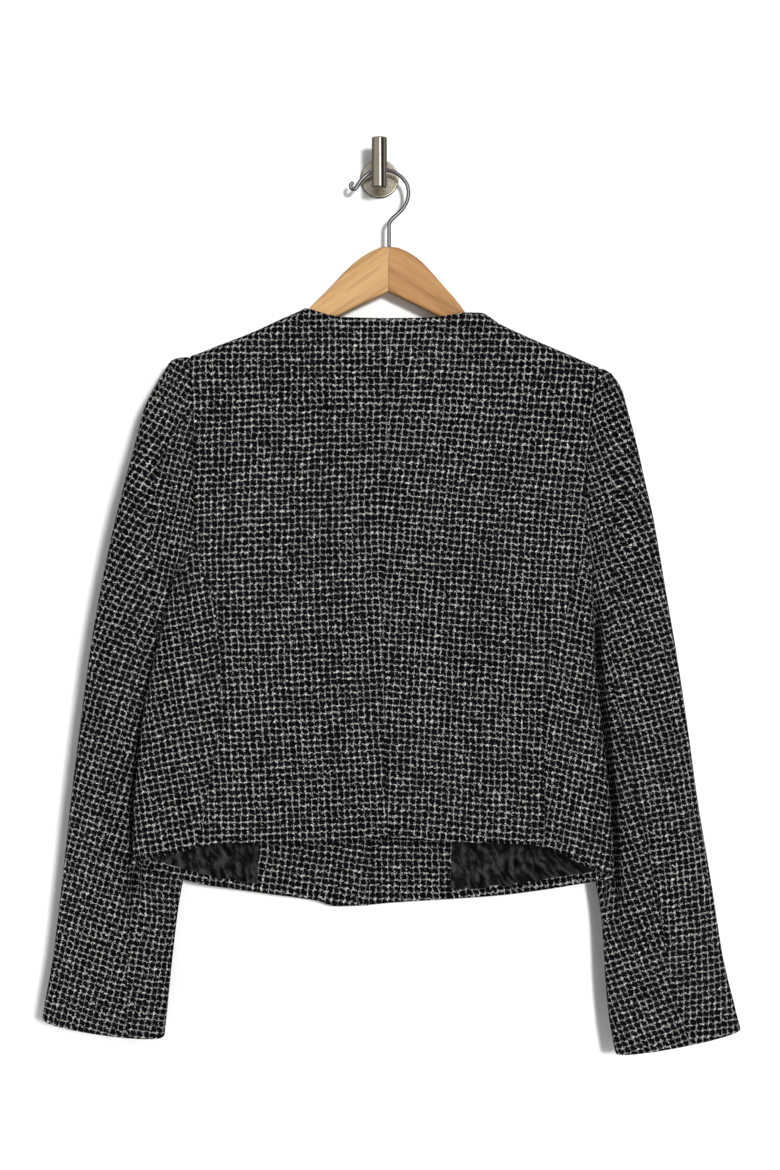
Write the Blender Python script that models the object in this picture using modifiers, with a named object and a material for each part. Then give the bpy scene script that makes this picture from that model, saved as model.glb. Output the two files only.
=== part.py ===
"""Cropped tweed jacket on a wooden hanger and a wall hook, seen with its back to the room.

The wall is the plane y = 0 and the room lies towards -Y. The origin is the middle of the back of
the wall plate. The body of the jacket is one flattened tube, worked out from the tables below:
each point of it has a place across the body, a height and a side (back or front). Every cloth
panel is a piece of that tube, or of a sleeve, cut along its seams. Tables are in millimetres.
"""

from collections import namedtuple
import math

import bmesh
import bpy
import numpy as np

MM = 0.001
WALL = 1.6            # tweed, with its fusing
SKIN = 1.0            # satin lining, facing and turned hem
SEAM = 0.2            # each side of a seam: panels lie 0.4 apart
ARM_GAP = 1.1         # from the edge of the body to the sleeve at the armhole seam
UNDERARM_GAP = {"left": 2.7, "right": 2.0}   # the same, straight down, at the side panels
SHOULDER_GAP = 0.55   # each side of the shoulder seam
AIR = 0.3             # between hard pieces, and from cloth to what lies on it
LOOSE = 0.9           # from a front to the facing, lining or turned hem that lies on it
BACK, FRONT = -1, 1   # the side of the tube, as the sign of y

RIDGE_Y = -22.0       # the shoulder line, over the middle of the hanger
RIDGE_ROUND = 9.0     # radius of the cloth over the hanger
UNDERARM_TOP = -342.0     # where the side panels start
NECK_POINTS = {"left": -69.5, "right": 84.5}
NECK_LEVEL = 4.2          # a front neckline runs level over the hanger, then drops
UNDERARM = -377.0         # lowest point of the armholes
FRONT_LENS = 1.5          # how sharply the front nears the side folds
LAP = 4.6                 # how far the right front stands outside the left one
FACING_AT_HEM = 104.0
FACING_AT_NECK = 62.0
HEM_TURNED = 8.6          # depth of turned hem that shows under the lining
LINING_TOP = -372.0
UPPER_ROWS, LOWER_ROWS = 7, 13   # rows of a panel above and below the level of the underarm
NECK_DROP = 80.0          # front neckline below the neck points
NECK_CURVE = (2.4, 1.1)   # the powers that round it
NECK_END = -150.0         # where it nears the front edges, about
NECK_COLUMN = 3.6         # from the column at a neck point to the next one
NEAR_ROWS = (2.0, 5.5, 9.5, 15.0)   # first rows of a panel, walked down from the shoulder line
PANEL_TOP, PANEL_LOW = -130.0, -645.0   # heights at which the width of a panel is read
FACING_TOP, FACING_LOW = -205.0, -680.0   # the same, for a facing
FACING_WIDENS = (-260, -560)
LINING_LOW = -660.0       # the same, for a lining
LINING_SIDE = 14.0        # a lining ends this far short of the side fold

# Top edge of the back: shoulder, neckline, shoulder. `ridge` is the line that the depth starts at.
Top = namedtuple("Top", "x edge ridge")
TOPS = [
    Top(-230, -171.5, -171.5),
    Top(-194, -171.0, -171.0),
    Top(-177, -168.2, -168.2),
    Top(-149, -157.9, -157.9),
    Top(-118, -145.8, -145.8),
    Top(-93, -134.2, -134.2),
    Top(-69.5, -123.4, -123.4),
    Top(-66, -124.4, -113.5),
    Top(-60, -126.4, -114.5),
    Top(-46, -130.6, -117.0),
    Top(-32, -132.6, -119.0),
    Top(8, -133.6, -120.0),
    Top(47, -132.8, -119.5),
    Top(71, -129.6, -118.5),
    Top(81, -128.0, -117.0),
    Top(84.5, -127.4, -127.4),
    Top(94, -127.6, -127.6),
    Top(112.6, -138.3, -138.3),
    Top(140.7, -151.4, -151.4),
    Top(178, -167.3, -167.3),
    Top(207, -179.0, -179.0),
    Top(235, -184.0, -184.0),
]

# Side folds of the tube. Above the underarm they lie outside the armholes and are not reached.
Fold = namedtuple("Fold", "z left right")
FOLDS = [
    Fold(-120, -216, 242),
    Fold(-200, -214, 238),
    Fold(-285, -207, 226),
    Fold(-342, -198, 210),
    Fold(-377, -191, 197),
    Fold(-417, -200, 198),
    Fold(-450, -207.6, 199),
    Fold(-497, -216.8, 203.5),
    Fold(-544, -222.3, 209),
    Fold(-590, -226.5, 213.5),
    Fold(-660, -227.5, 217.5),
]

# Depth by the drop below the shoulder line: half depths past the round, the middle of the tube,
# and how far its side folds lie in front of that middle.
Depth = namedtuple("Depth", "drop back front mid camber")
DEPTHS = [
    Depth(0, 0, 0, -22, 0),
    Depth(40, 5, 1, -23, 0),
    Depth(90, 13, 4, -27, 3),
    Depth(150, 20, 9, -32, 9),
    Depth(220, 25, 14, -36.5, 16),
    Depth(300, 27, 16, -38, 18),
    Depth(560, 28, 17, -38, 18),
]

# Armholes: the edge of the body where the sleeves are set in.
Armhole = namedtuple("Armhole", "z left right")
ARMHOLES = [
    Armhole(-100, -177, 206),
    Armhole(-168, -177, 206),
    Armhole(-202, -174.3, 200.4),
    Armhole(-240, -172.5, 195.4),
    Armhole(-285, -172, 191.6),
    Armhole(-325, -171, 191.5),
    Armhole(-342, -171.5, 193),
    Armhole(-361, -179, 195),
    Armhole(-377, -191, 197),
]

# Seams from the armholes down: the side-back seams, and the side-front seams on the front.
Side = namedtuple("Side", "z back_left back_right front_left front_right")
SIDES = [
    Side(-342, -171.5, 193, -171.5, 193),
    Side(-370, -161.5, 184.0, -167.5, 184),
    Side(-417, -148.5, 169, -164, 171),
    Side(-450, -145.2, 159.6, -164.5, 166),
    Side(-487, -146.5, 153, -168, 164),
    Side(-543, -152, 151.2, -178, 167),
    Side(-590, -161, 151.5, -184, 171),
    Side(-660, -174, 152.5, -186, 174),
]

# Centre-back seam and the edges of the two fronts.
Middle = namedtuple("Middle", "z seam left_front right_front")
MIDDLES = [
    Middle(-120, 10.8, 21, -10),
    Middle(-205, 9, 19.5, -12),
    Middle(-322, 3.5, 12, -19.5),
    Middle(-387, 2.6, 7.5, -23.5),
    Middle(-487, 4.4, 0.5, -29.5),
    Middle(-614, 8.1, -7, -36.5),
    Middle(-690, 8.1, -10.5, -39.5),
]

# Hems.
Hem = namedtuple("Hem", "x back front")
HEMS = [
    Hem(-230, -637, -637),
    Hem(-224, -635.9, -640),
    Hem(-206, -631.2, -646.5),
    Hem(-188, -627.5, -653.2),
    Hem(-162, -620.5, -661),
    Hem(-131, -618, -666.3),
    Hem(-96, -619, -671.6),
    Hem(-60, -617.8, -677),
    Hem(-39, -616.3, -683.0),
    Hem(-10, -614.2, -682.4),
    Hem(8, -613.3, -680.6),
    Hem(61, -617, -676.2),
    Hem(114, -618.3, -671.6),
    Hem(153, -622.2, -665.6),
    Hem(177, -633.0, -660.8),
    Hem(205, -646.5, -655),
    Hem(218, -650, -650.5),
]

# Soft vertical folds: a crest (or, below nought, a trough) from (x_top, z_top) to (x_low, z_low).
Crease = namedtuple("Crease", "x_top z_top x_low z_low width height")
BACK_CREASES = [
    Crease(-20, -200, -14, -640, 26, 3.2),
    Crease(26, -150, 22, -640, 22, -4.2),
    Crease(75, -150, 78, -600, 30, 3.0),
    Crease(-60, -170, -66, -560, 28, -2.4),
    Crease(-104, -220, -112, -640, 24, 2.8),
    Crease(-166, -420, -176, -620, 13, -3.4),
    Crease(130, -240, 112, -650, 26, 2.4),
    Crease(168, -430, 182, -620, 14, -3.4),
    Crease(-150, -240, -156, -400, 20, 2.0),
    Crease(160, -240, 158, -420, 20, -2.0),
]
FRONT_CREASES = [
    Crease(-120, -230, -128, -640, 26, 2.6),
    Crease(-70, -280, -76, -690, 24, -2.4),
    Crease(70, -260, 66, -690, 24, -2.4),
    Crease(122, -230, 130, -640, 28, 2.6),
]

# Sleeve rings from the armhole to the cuff: the outer and inner edge of the flattened tube, its
# half depth, the y of its middle and how far the inner edge lies behind the outer one.
Ring = namedtuple("Ring", "outer_x outer_z inner_x inner_z depth mid tilt")
LEFT_RINGS = [
    Ring(-177.0, -169.5, -191.0, -377.0, 15.0, -35.5, -13.5),
    Ring(-186.0, -170.2, -191.6, -377.8, 16.0, -34.7, -11.7),
    Ring(-193.5, -172.6, -191.8, -379.5, 17.3, -33.7, -9.7),
    Ring(-201.0, -183.3, -191.5, -383.0, 18.6, -32.7, -7.2),
    Ring(-207.5, -194.5, -190.8, -389.0, 19.6, -31.7, -4.2),
    Ring(-218.7, -216.9, -189.0, -398.0, 20.2, -30.5, -1.0),
    Ring(-226.5, -246.8, -185.0, -411.0, 20.0, -28.5, 2.0),
    Ring(-236.5, -284.1, -178.0, -426.0, 19.5, -26.5, 5.0),
    Ring(-245.8, -321.4, -167.0, -442.0, 19.0, -24.7, 6.7),
    Ring(-254.2, -358.8, -156.0, -458.0, 18.5, -23.0, 7.0),
    Ring(-261.7, -396.0, -149.0, -480.0, 18.0, -22.0, 6.0),
    Ring(-268.2, -433.4, -150.0, -508.0, 17.5, -21.5, 6.0),
    Ring(-278.5, -508.1, -161.0, -564.0, 17.0, -21.0, 5.0),
    Ring(-287.8, -582.7, -176.0, -622.0, 16.5, -20.5, 4.0),
    Ring(-296.2, -657.4, -188.0, -684.0, 15.5, -20.0, 2.0),
    Ring(-305.5, -732.0, -195.6, -752.0, 14.0, -20.0, 0.0),
    Ring(-311.5, -766.0, -198.6, -782.0, 13.0, -20.0, 0.0),
    Ring(-315.4, -788.3, -201.0, -804.4, 12.5, -20.0, 0.0),
]
RIGHT_RINGS = [
    Ring(206.0, -179.6, 197.0, -377.0, 15.0, -35.5, -13.5),
    Ring(211.0, -181.4, 197.4, -377.8, 16.0, -34.7, -11.7),
    Ring(215.8, -184.0, 197.5, -379.5, 17.3, -33.7, -9.7),
    Ring(221.0, -190.6, 197.2, -383.0, 18.6, -32.7, -7.2),
    Ring(226.4, -201.0, 196.6, -389.0, 19.6, -31.7, -4.2),
    Ring(230.6, -217.0, 195.5, -398.0, 20.2, -30.5, -1.0),
    Ring(238.5, -246.8, 192.5, -411.0, 20.0, -28.5, 2.0),
    Ring(246.9, -284.1, 187.0, -426.0, 19.5, -26.5, 5.0),
    Ring(255.3, -321.4, 179.0, -442.0, 19.0, -24.7, 6.7),
    Ring(261.9, -358.8, 170.0, -458.0, 18.5, -23.0, 7.0),
    Ring(268.4, -396.0, 167.0, -481.0, 18.0, -22.0, 6.0),
    Ring(274.9, -433.4, 169.0, -512.0, 17.5, -21.5, 6.0),
    Ring(286.5, -508.1, 182.0, -572.0, 17.0, -21.0, 5.0),
    Ring(296.9, -582.7, 196.0, -632.0, 16.5, -20.5, 4.0),
    Ring(309.5, -657.4, 207.5, -694.0, 15.5, -20.0, 2.0),
    Ring(321.6, -732.0, 211.8, -760.0, 14.0, -20.0, 0.0),
    Ring(331.0, -771.0, 215.6, -794.0, 13.0, -20.0, 0.0),
    Ring(337.9, -798.0, 220.8, -820.7, 12.5, -20.0, 0.0),
]
RINGS = {"left": LEFT_RINGS, "right": RIGHT_RINGS}
NumberedRing = namedtuple("NumberedRing", ("number",) + Ring._fields)
SET_IN = 5.0              # rings over which a sleeve leaves the shape of its armhole
SLEEVE_CLEAR = 1.4        # a sleeve lies this far behind the front that covers it
SLEEVE_SOFT = 3.0         # how softly it is bent back there
CUFF_DIP = {"left": 5.0, "right": 3.5}   # the near side of a cuff hangs lower

# Sleeve seams by ring, in degrees round the tube: 0 outer edge, 90 near side, 180 inner edge.
# `gap` is each side of a seam; it is wider where the seams run nearly along the rings.
Seam = namedtuple("Seam", "ring elbow inner gap")
SEAMS = {
    "left": [Seam(0, 62, 262, 0.2), Seam(6, 78, 256, 1.25), Seam(11, 92, 250, 0.27),
             Seam(17, 115, 246, 0.25)],
    "right": [Seam(0, 62, 262, 0.22), Seam(6, 84, 256, 1.1), Seam(11, 94, 250, 0.27),
              Seam(17, 80, 246, 0.25)],
}

# Soft creases of the sleeves: at a ring and an angle, slanting by `slant` degrees a ring.
Dent = namedtuple("Dent", "ring angle slant along across height")
DENTS = {
    "left": [Dent(9.5, 70, -9, 2.6, 16, -2.2), Dent(12.4, 78, 10, 1.6, 18, -2.0),
             Dent(11.4, 30, 12, 1.4, 14, 1.6), Dent(14.6, 62, -10, 1.5, 20, 1.6),
             Dent(11.5, 300, -12, 2.0, 18, -2.0), Dent(5.0, 300, 10, 2.0, 16, -2.0)],
    "right": [Dent(8.8, 66, -10, 2.4, 16, -2.2), Dent(12.2, 84, 9, 1.8, 18, -2.2),
              Dent(13.4, 40, -12, 1.4, 16, 1.8), Dent(15.0, 76, 9, 1.3, 18, -1.6),
              Dent(11.0, 300, 12, 2.0, 18, -2.0), Dent(5.0, 300, -10, 2.0, 16, -2.0)],
}

# The hanger: its top and underside, by the distance from the middle joint.
HANGER_X = 8.2
HANGER_DEPTH = 12.4
HANGER_EDGE = 3.6
Arm = namedtuple("Arm", "left top_left right top_right under")
ARMS = [
    Arm(0, -66.4, 0, -66.4, -108.8),
    Arm(7, -67.2, 7, -67.0, -112.0),
    Arm(16, -71.0, 16, -70.2, -116.3),
    Arm(28.7, -79.1, 28.7, -78.2, -122.3),
    Arm(38.6, -87.9, 38.6, -88.0, -127.2),
    Arm(51.2, -101.6, 51.2, -102.4, -133.6),
    Arm(63.7, -114.0, 63.7, -116.6, -139.6),
    Arm(71.5, -121.8, 71.5, -127.2, -143.0),
    Arm(75.6, -127.2, 75.6, -134.0, -145.0),
    Arm(101, -138.8, 104.4, -143.8, -161.5),
    Arm(126, -149.8, 132.5, -155.6, -172.0),
    Arm(156, -162.8, 162, -168.4, -182.5),
    Arm(175, -171.0, 184, -178.2, -190.6),
]

# The wire hook of the hanger, from the wood up and over the stem.
HOOK_WIRE = 3.5
HOOK_BALL = 5.4
Route = namedtuple("Route", "x z")
HOOK_ROUTE = [
    Route(9.0, -66.0), Route(9.0, -56.0), Route(9.0, -46.0), Route(11.4, -40.6), Route(17.2, -35.4),
    Route(22.6, -29.5), Route(26.0, -22.8), Route(27.2, -16.0), Route(26.2, -9.2),
    Route(22.8, -3.4), Route(17.6, 1.2), Route(11.0, 4.6), Route(3.5, 6.0), Route(-3.0, 5.4),
    Route(-9.4, 2.6), Route(-15.4, -2.0), Route(-19.2, -7.4), Route(-22.0, -11.4),
    Route(-26.4, -11.4),
]
RouteStep = namedtuple("RouteStep", "step x z")

PLATE_RADIUS, PLATE_DEPTH = 18.0, 4.0
STEM_RADIUS = 3.5
PIN_RADIUS, PIN_Y = 7.0, -38.0
PIN_TOP, PIN_BOTTOM = 33.5, -13.5

BUTTON_RADIUS, BUTTON_DEPTH = 9.5, 2.6
BUTTON_HEIGHTS = (-226.0, -344.0, -462.0, -580.0)
BUTTON_INSET = 15.5       # middle of a button inside the edge of the right front

COLOURS = {               # base colour, roughness, metallic
    "tweed": ((0.045, 0.048, 0.052, 1), 0.95, 0.0),
    "satin": ((0.010, 0.010, 0.012, 1), 0.35, 0.0),
    "wood": ((0.66, 0.42, 0.20, 1), 0.42, 0.0),
    "steel": ((0.62, 0.60, 0.57, 1), 0.28, 1.0),
    "button": ((0.02, 0.02, 0.024, 1), 0.30, 0.0),
}


def fade(value, start, end):
    """0 at start, 1 at end, with level ends."""
    t = np.clip((value - start) / (end - start), 0, 1)
    return t * t * (3 - 2 * t)


def smooth(at, rows, along, across):
    """Column `across` of a table, read at `at` in column `along`: a cubic that never overshoots."""
    x = np.array([getattr(row, along) for row in rows], float)
    y = np.array([getattr(row, across) for row in rows], float)
    if x[0] > x[-1]:
        x, y = x[::-1], y[::-1]
    step = np.diff(x)
    rise = np.diff(y) / step
    turn = rise[:-1] * rise[1:] <= 0
    before, after = np.where(turn, 1, rise[:-1]), np.where(turn, 1, rise[1:])
    mean = 3 * (step[:-1] + step[1:]) / (
        (2 * step[1:] + step[:-1]) / before + (step[1:] + 2 * step[:-1]) / after
    )
    slope = np.concatenate([rise[:1], np.where(turn, 0, mean), rise[-1:]])
    at = np.clip(at, x[0], x[-1])
    i = np.clip(np.searchsorted(x, at) - 1, 0, len(step) - 1)
    t = (at - x[i]) / step[i]
    return (
        y[i] * (1 + 2 * t) * (1 - t) ** 2
        + slope[i] * step[i] * t * (1 - t) ** 2
        + y[i + 1] * t * t * (3 - 2 * t)
        + slope[i + 1] * step[i] * t * t * (t - 1)
    )


def across_body(x, z):
    """Place between the side folds at height z: -1 at the left fold, 1 at the right one."""
    left, right = smooth(z, FOLDS, "z", "left"), smooth(z, FOLDS, "z", "right")
    return (x - (left + right) / 2) / ((right - left) / 2)


def creases(x, z, rows):
    """Height of the soft folds at a point: bell-shaped across, faded at both ends."""
    height = 0.0
    for row in rows:
        along = (row.z_top - z) / (row.z_top - row.z_low)
        line = row.x_top + (row.x_low - row.x_top) * along
        ends = fade(along, -0.12, 0.22) * (1 - fade(along, 0.86, 1.2))
        height = height + row.height * ends * np.exp(-(((x - line) / row.width) ** 2))
    return height


def body_y(x, z, side):
    """y of the outside of the tube: its middle, plus a half depth that closes at the side folds."""
    place = np.clip(across_body(x, z), -1, 1)
    lens = np.sqrt(1 - place**2)
    rows = BACK_CREASES
    column = "back"
    if side == FRONT:
        lens = lens**FRONT_LENS
        rows = FRONT_CREASES
        column = "front"
    drop = np.clip(smooth(x, TOPS, "x", "ridge") - z, 0, None)
    short = np.clip(RIDGE_ROUND - drop, 0, None)
    over = np.sqrt(RIDGE_ROUND**2 - short**2)
    low = fade(drop, 110, 220)
    depth = over * (1 - low + low * lens) + smooth(drop, DEPTHS, "drop", column) * lens
    depth = depth + creases(x, z, rows) * lens * fade(drop, 5, 60)
    mid = smooth(drop, DEPTHS, "drop", "mid") - smooth(drop, DEPTHS, "drop", "camber") * place**2
    return mid + side * depth


def right_front_y(x, z):
    """The right front stands outside the left one where they lap."""
    edge = smooth(z, MIDDLES, "z", "left_front")
    return body_y(x, z, FRONT) + LAP * (1 - fade(x, edge + 6, edge + 70))


def inside_front(x, z, y_of, inward):
    """Points of a front y_of(x, z), moved inward by a depth, for what lies on its inside."""
    y = y_of(x, z)
    step = 0.5
    slope_x = (y_of(x + step, z) - y_of(x - step, z)) / (2 * step)
    slope_z = (y_of(x, z + step) - y_of(x, z - step)) / (2 * step)
    length = np.sqrt(1 + slope_x**2 + slope_z**2)
    normal = np.stack([-slope_x, np.ones_like(y), -slope_z], -1) / length[..., None]
    return np.stack([x, y, z], -1) - inward * normal


def over_the_ridge(start, length):
    """Drop below the shoulder line after walking `length` down the cloth from the drop `start`."""
    turned = np.arccos(np.clip(1 - start / RIDGE_ROUND, -1, 1))
    angle = turned + length / RIDGE_ROUND
    past = length - RIDGE_ROUND * (math.pi / 2 - turned)
    on_round = RIDGE_ROUND * (1 - np.cos(angle))
    straight = np.maximum(start, RIDGE_ROUND) + past
    straight = np.where(start > RIDGE_ROUND, start + length, straight)
    return np.where((angle < math.pi / 2) & (start < RIDGE_ROUND), on_round, straight)


def columns_past_neck(side, neck, middle, shoulder_columns, neck_columns):
    """Fractions across a panel with a column at the neck point and another just inside it."""
    at_neck = (neck - side) / (middle - side)
    inside = at_neck + NECK_COLUMN / abs(middle - side)
    shoulder = np.linspace(0, at_neck, shoulder_columns)
    return np.concatenate([shoulder, np.linspace(inside, 1, neck_columns)])[None, :]


def down_to_hem(top, hem):
    """Heights of the rows from the level of the underarm, or `top`, to the hem."""
    down = np.linspace(0, 1, LOWER_ROWS)[:, None]
    return top * (1 - down) + hem * down


def cut_panel(side_x, middle_x, top_z, hem_z, neck, shoulder_columns, neck_columns):
    """x and z of a panel from its side edge to its middle edge, and from its top to its hem."""
    high, low = np.full((1, 1), PANEL_TOP), np.full((1, 1), PANEL_LOW)
    across = columns_past_neck(
        side_x(high)[0, 0], neck, middle_x(high)[0, 0], shoulder_columns, neck_columns
    )
    lengths = np.array((SHOULDER_GAP,) + NEAR_ROWS)[:, None]
    near_x = (1 - across) * side_x(high) + across * middle_x(high) + 0 * lengths
    for _ in range(3):  # the width and the height of a point depend on each other
        ridge = smooth(near_x, TOPS, "x", "ridge")
        near = ridge - over_the_ridge(np.clip(ridge - top_z(near_x), 0, None), lengths)
        near_x = (1 - across) * side_x(near) + across * middle_x(near)
    hem = hem_z((1 - across) * side_x(low) + across * middle_x(low))
    between = np.linspace(0, 1, UPPER_ROWS)[1:-1, None]
    upper = near[-1:] * (1 - between) + UNDERARM_TOP * between
    z = np.vstack([near, upper, down_to_hem(np.full_like(hem, UNDERARM_TOP), hem)])
    x = (1 - across) * side_x(z) + across * middle_x(z)
    return x, z


def armhole_x(z, hand):
    """x of the edge of the body at an armhole, at height z."""
    return smooth(z, ARMHOLES, "z", hand)


def side_edge(z, hand, column):
    """Side edge of a back or a front: its armhole, then its seam, drawn in by the gap."""
    into = 1 if hand == "left" else -1
    gap = SEAM + (ARM_GAP - SEAM) * fade(z, UNDERARM_TOP - 16, UNDERARM_TOP)
    edge = np.where(z > UNDERARM_TOP, armhole_x(z, hand), smooth(z, SIDES, "z", column))
    return edge + into * gap


def back(hand):
    """x, z of a back panel, from the side to the centre-back seam."""
    into = 1 if hand == "left" else -1
    return cut_panel(
        lambda z: side_edge(z, hand, "back_" + hand),
        lambda z: smooth(z, MIDDLES, "z", "seam") - into * SEAM,
        lambda x: smooth(x, TOPS, "x", "edge"),
        lambda x: smooth(x, HEMS, "x", "back"),
        NECK_POINTS[hand],
        8,
        8,
    )


def neckline(x, hand):
    """Top edge of a front: the shoulder, then a round neckline down to the front edge."""
    shoulder = smooth(x, TOPS, "x", "edge")
    neck = NECK_POINTS[hand] + (NECK_LEVEL if hand == "left" else -NECK_LEVEL)
    end = smooth(np.array(NECK_END), MIDDLES, "z", hand + "_front")
    along = np.clip((x - neck) / (end - neck), 0, 1)
    top = smooth(np.array(NECK_POINTS[hand]), TOPS, "x", "edge")
    passed = (x - NECK_POINTS[hand]) * (end - neck) > 0
    steep, soft = NECK_CURVE
    return np.where(passed, top - 1.0 - NECK_DROP * (1 - (1 - along) ** steep) ** soft, shoulder)


def front(hand):
    """x, z of a front, from the side to the front edge."""
    return cut_panel(
        lambda z: side_edge(z, hand, "front_" + hand),
        lambda z: smooth(z, MIDDLES, "z", hand + "_front"),
        lambda x: neckline(x, hand),
        lambda x: smooth(x, HEMS, "x", "front"),
        NECK_POINTS[hand],
        8,
        7,
    )


def front_y(hand):
    """The surface that a front lies on."""
    if hand == "right":
        return right_front_y
    return lambda x, z: body_y(x, z, FRONT)


def side_panel(hand, columns=9):
    """Points of a side panel: from the side-back seam round the fold to the side-front seam."""
    out = -1 if hand == "left" else 1
    turning = np.linspace(1, -1, columns)[None, :]
    from_fold = np.abs(turning)
    on_back = turning > 0
    top = UNDERARM + (UNDERARM_TOP - UNDERARM) * from_fold
    hems = []
    for name in ("back", "front"):
        low = np.full((1, 1), PANEL_LOW)
        seam, fold = smooth(low, SIDES, "z", name + "_" + hand), smooth(low, FOLDS, "z", hand)
        hems.append(smooth(fold + (seam - fold) * from_fold**2, HEMS, "x", name))
    z = down_to_hem(top, np.where(on_back, *hems))
    down = (z - z[:1]) / (z[-1:] - z[:1])
    seam = np.where(
        on_back, smooth(z, SIDES, "z", "back_" + hand), smooth(z, SIDES, "z", "front_" + hand)
    )
    widest = np.arccos(np.clip(out * across_body(seam + out * SEAM, z), -1, 1))
    top_turn = np.arccos(np.clip(out * across_body(armhole_x(top, hand), top), -1, 1)) / widest[:1]
    turn = widest * (top_turn * (1 - down) ** 2 + from_fold * (1 - (1 - down) ** 2))
    z = z - UNDERARM_GAP[hand] * (1 - down)
    left, right = smooth(z, FOLDS, "z", "left"), smooth(z, FOLDS, "z", "right")
    x = (left + right) / 2 + out * (right - left) / 2 * np.cos(turn)
    y = np.where(on_back, body_y(x, z, BACK), body_y(x, z, FRONT))
    return np.stack([x, y, z], -1)


def facing_width(z):
    """Width of a facing at height z: it widens from the neck to the hem."""
    return FACING_AT_NECK + (FACING_AT_HEM - FACING_AT_NECK) * fade(z, *FACING_WIDENS)


def facing(hand):
    """Points of a front facing, on the inside of its front."""
    into = -1 if hand == "left" else 1
    across = np.linspace(0, 1, 6)[None, :]
    down = np.linspace(0, 1, 17)[:, None]
    edge_top = smooth(np.array(FACING_TOP), MIDDLES, "z", hand + "_front")
    top_x = edge_top + into * (1 + across * FACING_AT_NECK)
    top = neckline(top_x, hand) - 1.0
    edge_hem = smooth(np.array(FACING_LOW), MIDDLES, "z", hand + "_front")
    hem_x = edge_hem + into * (1 + across * FACING_AT_HEM)
    hem = smooth(hem_x, HEMS, "x", "front") + 0.8
    z = top * (1 - down) + hem * down
    x = smooth(z, MIDDLES, "z", hand + "_front") + into * (1 + across * facing_width(z))
    return inside_front(x, z, front_y(hand), WALL + LOOSE)


def lining_x(z, hand, across):
    """x of the lining from the facing's edge towards the side fold."""
    into = -1 if hand == "left" else 1
    start = smooth(z, MIDDLES, "z", hand + "_front") + into * (1 + facing_width(z) + AIR)
    end = smooth(z, FOLDS, "z", hand) - into * LINING_SIDE
    return start + (end - start) * across


def lining(hand):
    """Points of the lining of a front, from under the arm to just above the hem."""
    across = np.linspace(0, 1, 9)[None, :]
    down = np.linspace(0, 1, 11)[:, None]
    low = smooth(lining_x(np.full((1, 1), LINING_LOW), hand, across), HEMS, "x", "front") + HEM_TURNED
    z = LINING_TOP * (1 - down) + low * down
    return inside_front(lining_x(z, hand, across), z, front_y(hand), WALL + LOOSE)


def turned_hem(hand):
    """Points of the hem that is turned up inside a front, under the lining."""
    across = np.linspace(0, 1, 11)[None, :]
    down = np.linspace(0, 1, 3)[:, None]
    low = smooth(lining_x(np.full((1, 1), LINING_LOW), hand, across), HEMS, "x", "front")
    z = (low + HEM_TURNED - AIR) * (1 - down) + (low + 0.8) * down
    return inside_front(lining_x(z, hand, across), z, front_y(hand), WALL + LOOSE)


def sleeve(ring, degrees, hand):
    """Points of a sleeve: an ellipse from its outer to its inner edge, tilted in depth. Near the
    armhole it takes the armhole's own line, and behind a front it stays clear of it."""
    rows = RINGS[hand]
    numbered = [NumberedRing(number, *row) for number, row in enumerate(rows)]
    read = {name: smooth(ring, numbered, "number", name) for name in Ring._fields}
    first = rows[0]
    angle = np.radians(degrees)
    cos, sin = np.cos(angle), np.sin(angle)
    x = (read["outer_x"] + read["inner_x"]) / 2 + (read["outer_x"] - read["inner_x"]) / 2 * cos
    z = (read["outer_z"] + read["inner_z"]) / 2 + (read["outer_z"] - read["inner_z"]) / 2 * cos
    y = read["mid"] - read["tilt"] * cos - read["depth"] * sin
    first_x = (first.outer_x + first.inner_x) / 2 + (first.outer_x - first.inner_x) / 2 * cos
    first_z = (first.outer_z + first.inner_z) / 2 + (first.outer_z - first.inner_z) / 2 * cos
    first_y = first.mid - first.tilt * cos - first.depth * sin
    set_x = armhole_x(first_z, hand)
    set_y = np.where(sin >= 0, body_y(set_x, first_z, BACK), body_y(set_x, first_z, FRONT))
    near = 1 - fade(ring, 0, SET_IN)
    x = x + (set_x - first_x) * near
    y = y + (set_y - first_y) * near
    short = body_y(x, z, FRONT) + SLEEVE_CLEAR - y
    pushed = (short + np.sqrt(short**2 + SLEEVE_SOFT**2)) / 2
    covered = fade(np.abs(across_body(x, z)), 1.01, 0.975) * fade(z, UNDERARM + 2, UNDERARM - 12)
    y = y + pushed * covered * (1 - near)
    z = z - CUFF_DIP[hand] * np.clip(sin, 0, 1) * fade(ring, 14, 17)
    bump = 0.0
    for dent in DENTS[hand]:
        off = ring - dent.ring
        away = (degrees - dent.angle - dent.slant * off + 180) % 360 - 180
        bump = bump + dent.height * np.exp(-((off / dent.along) ** 2) - (away / dent.across) ** 2)
    return np.stack([x, y - bump * np.sign(sin) * np.abs(sin) ** 0.5, z], -1)


def sleeve_piece(hand, piece, columns, rings=24):
    """Points of the upper or under sleeve, between the elbow seam and the inner seam."""
    ring = np.linspace(0, 17, rings)[:, None]
    elbow = smooth(ring, SEAMS[hand], "ring", "elbow")
    inner = smooth(ring, SEAMS[hand], "ring", "inner")
    gap = smooth(ring, SEAMS[hand], "ring", "gap")
    across = np.linspace(0, 1, columns)[None, :]
    if piece == "upper":
        start, end = inner - 360 + gap, elbow - gap
    else:
        start, end = elbow + gap, inner - gap
    return sleeve(ring + 0 * across, start + (end - start) * across, hand)


def paint(item, finish):
    """Gives an object a material of its own from the named finish."""
    colour, roughness, metallic = COLOURS[finish]
    material = bpy.data.materials.new(item.name)
    material.use_nodes = True
    shader = material.node_tree.nodes["Principled BSDF"]
    shader.inputs["Base Color"].default_value = colour
    shader.inputs["Roughness"].default_value = roughness
    shader.inputs["Metallic"].default_value = metallic
    item.data.materials.append(material)


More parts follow.
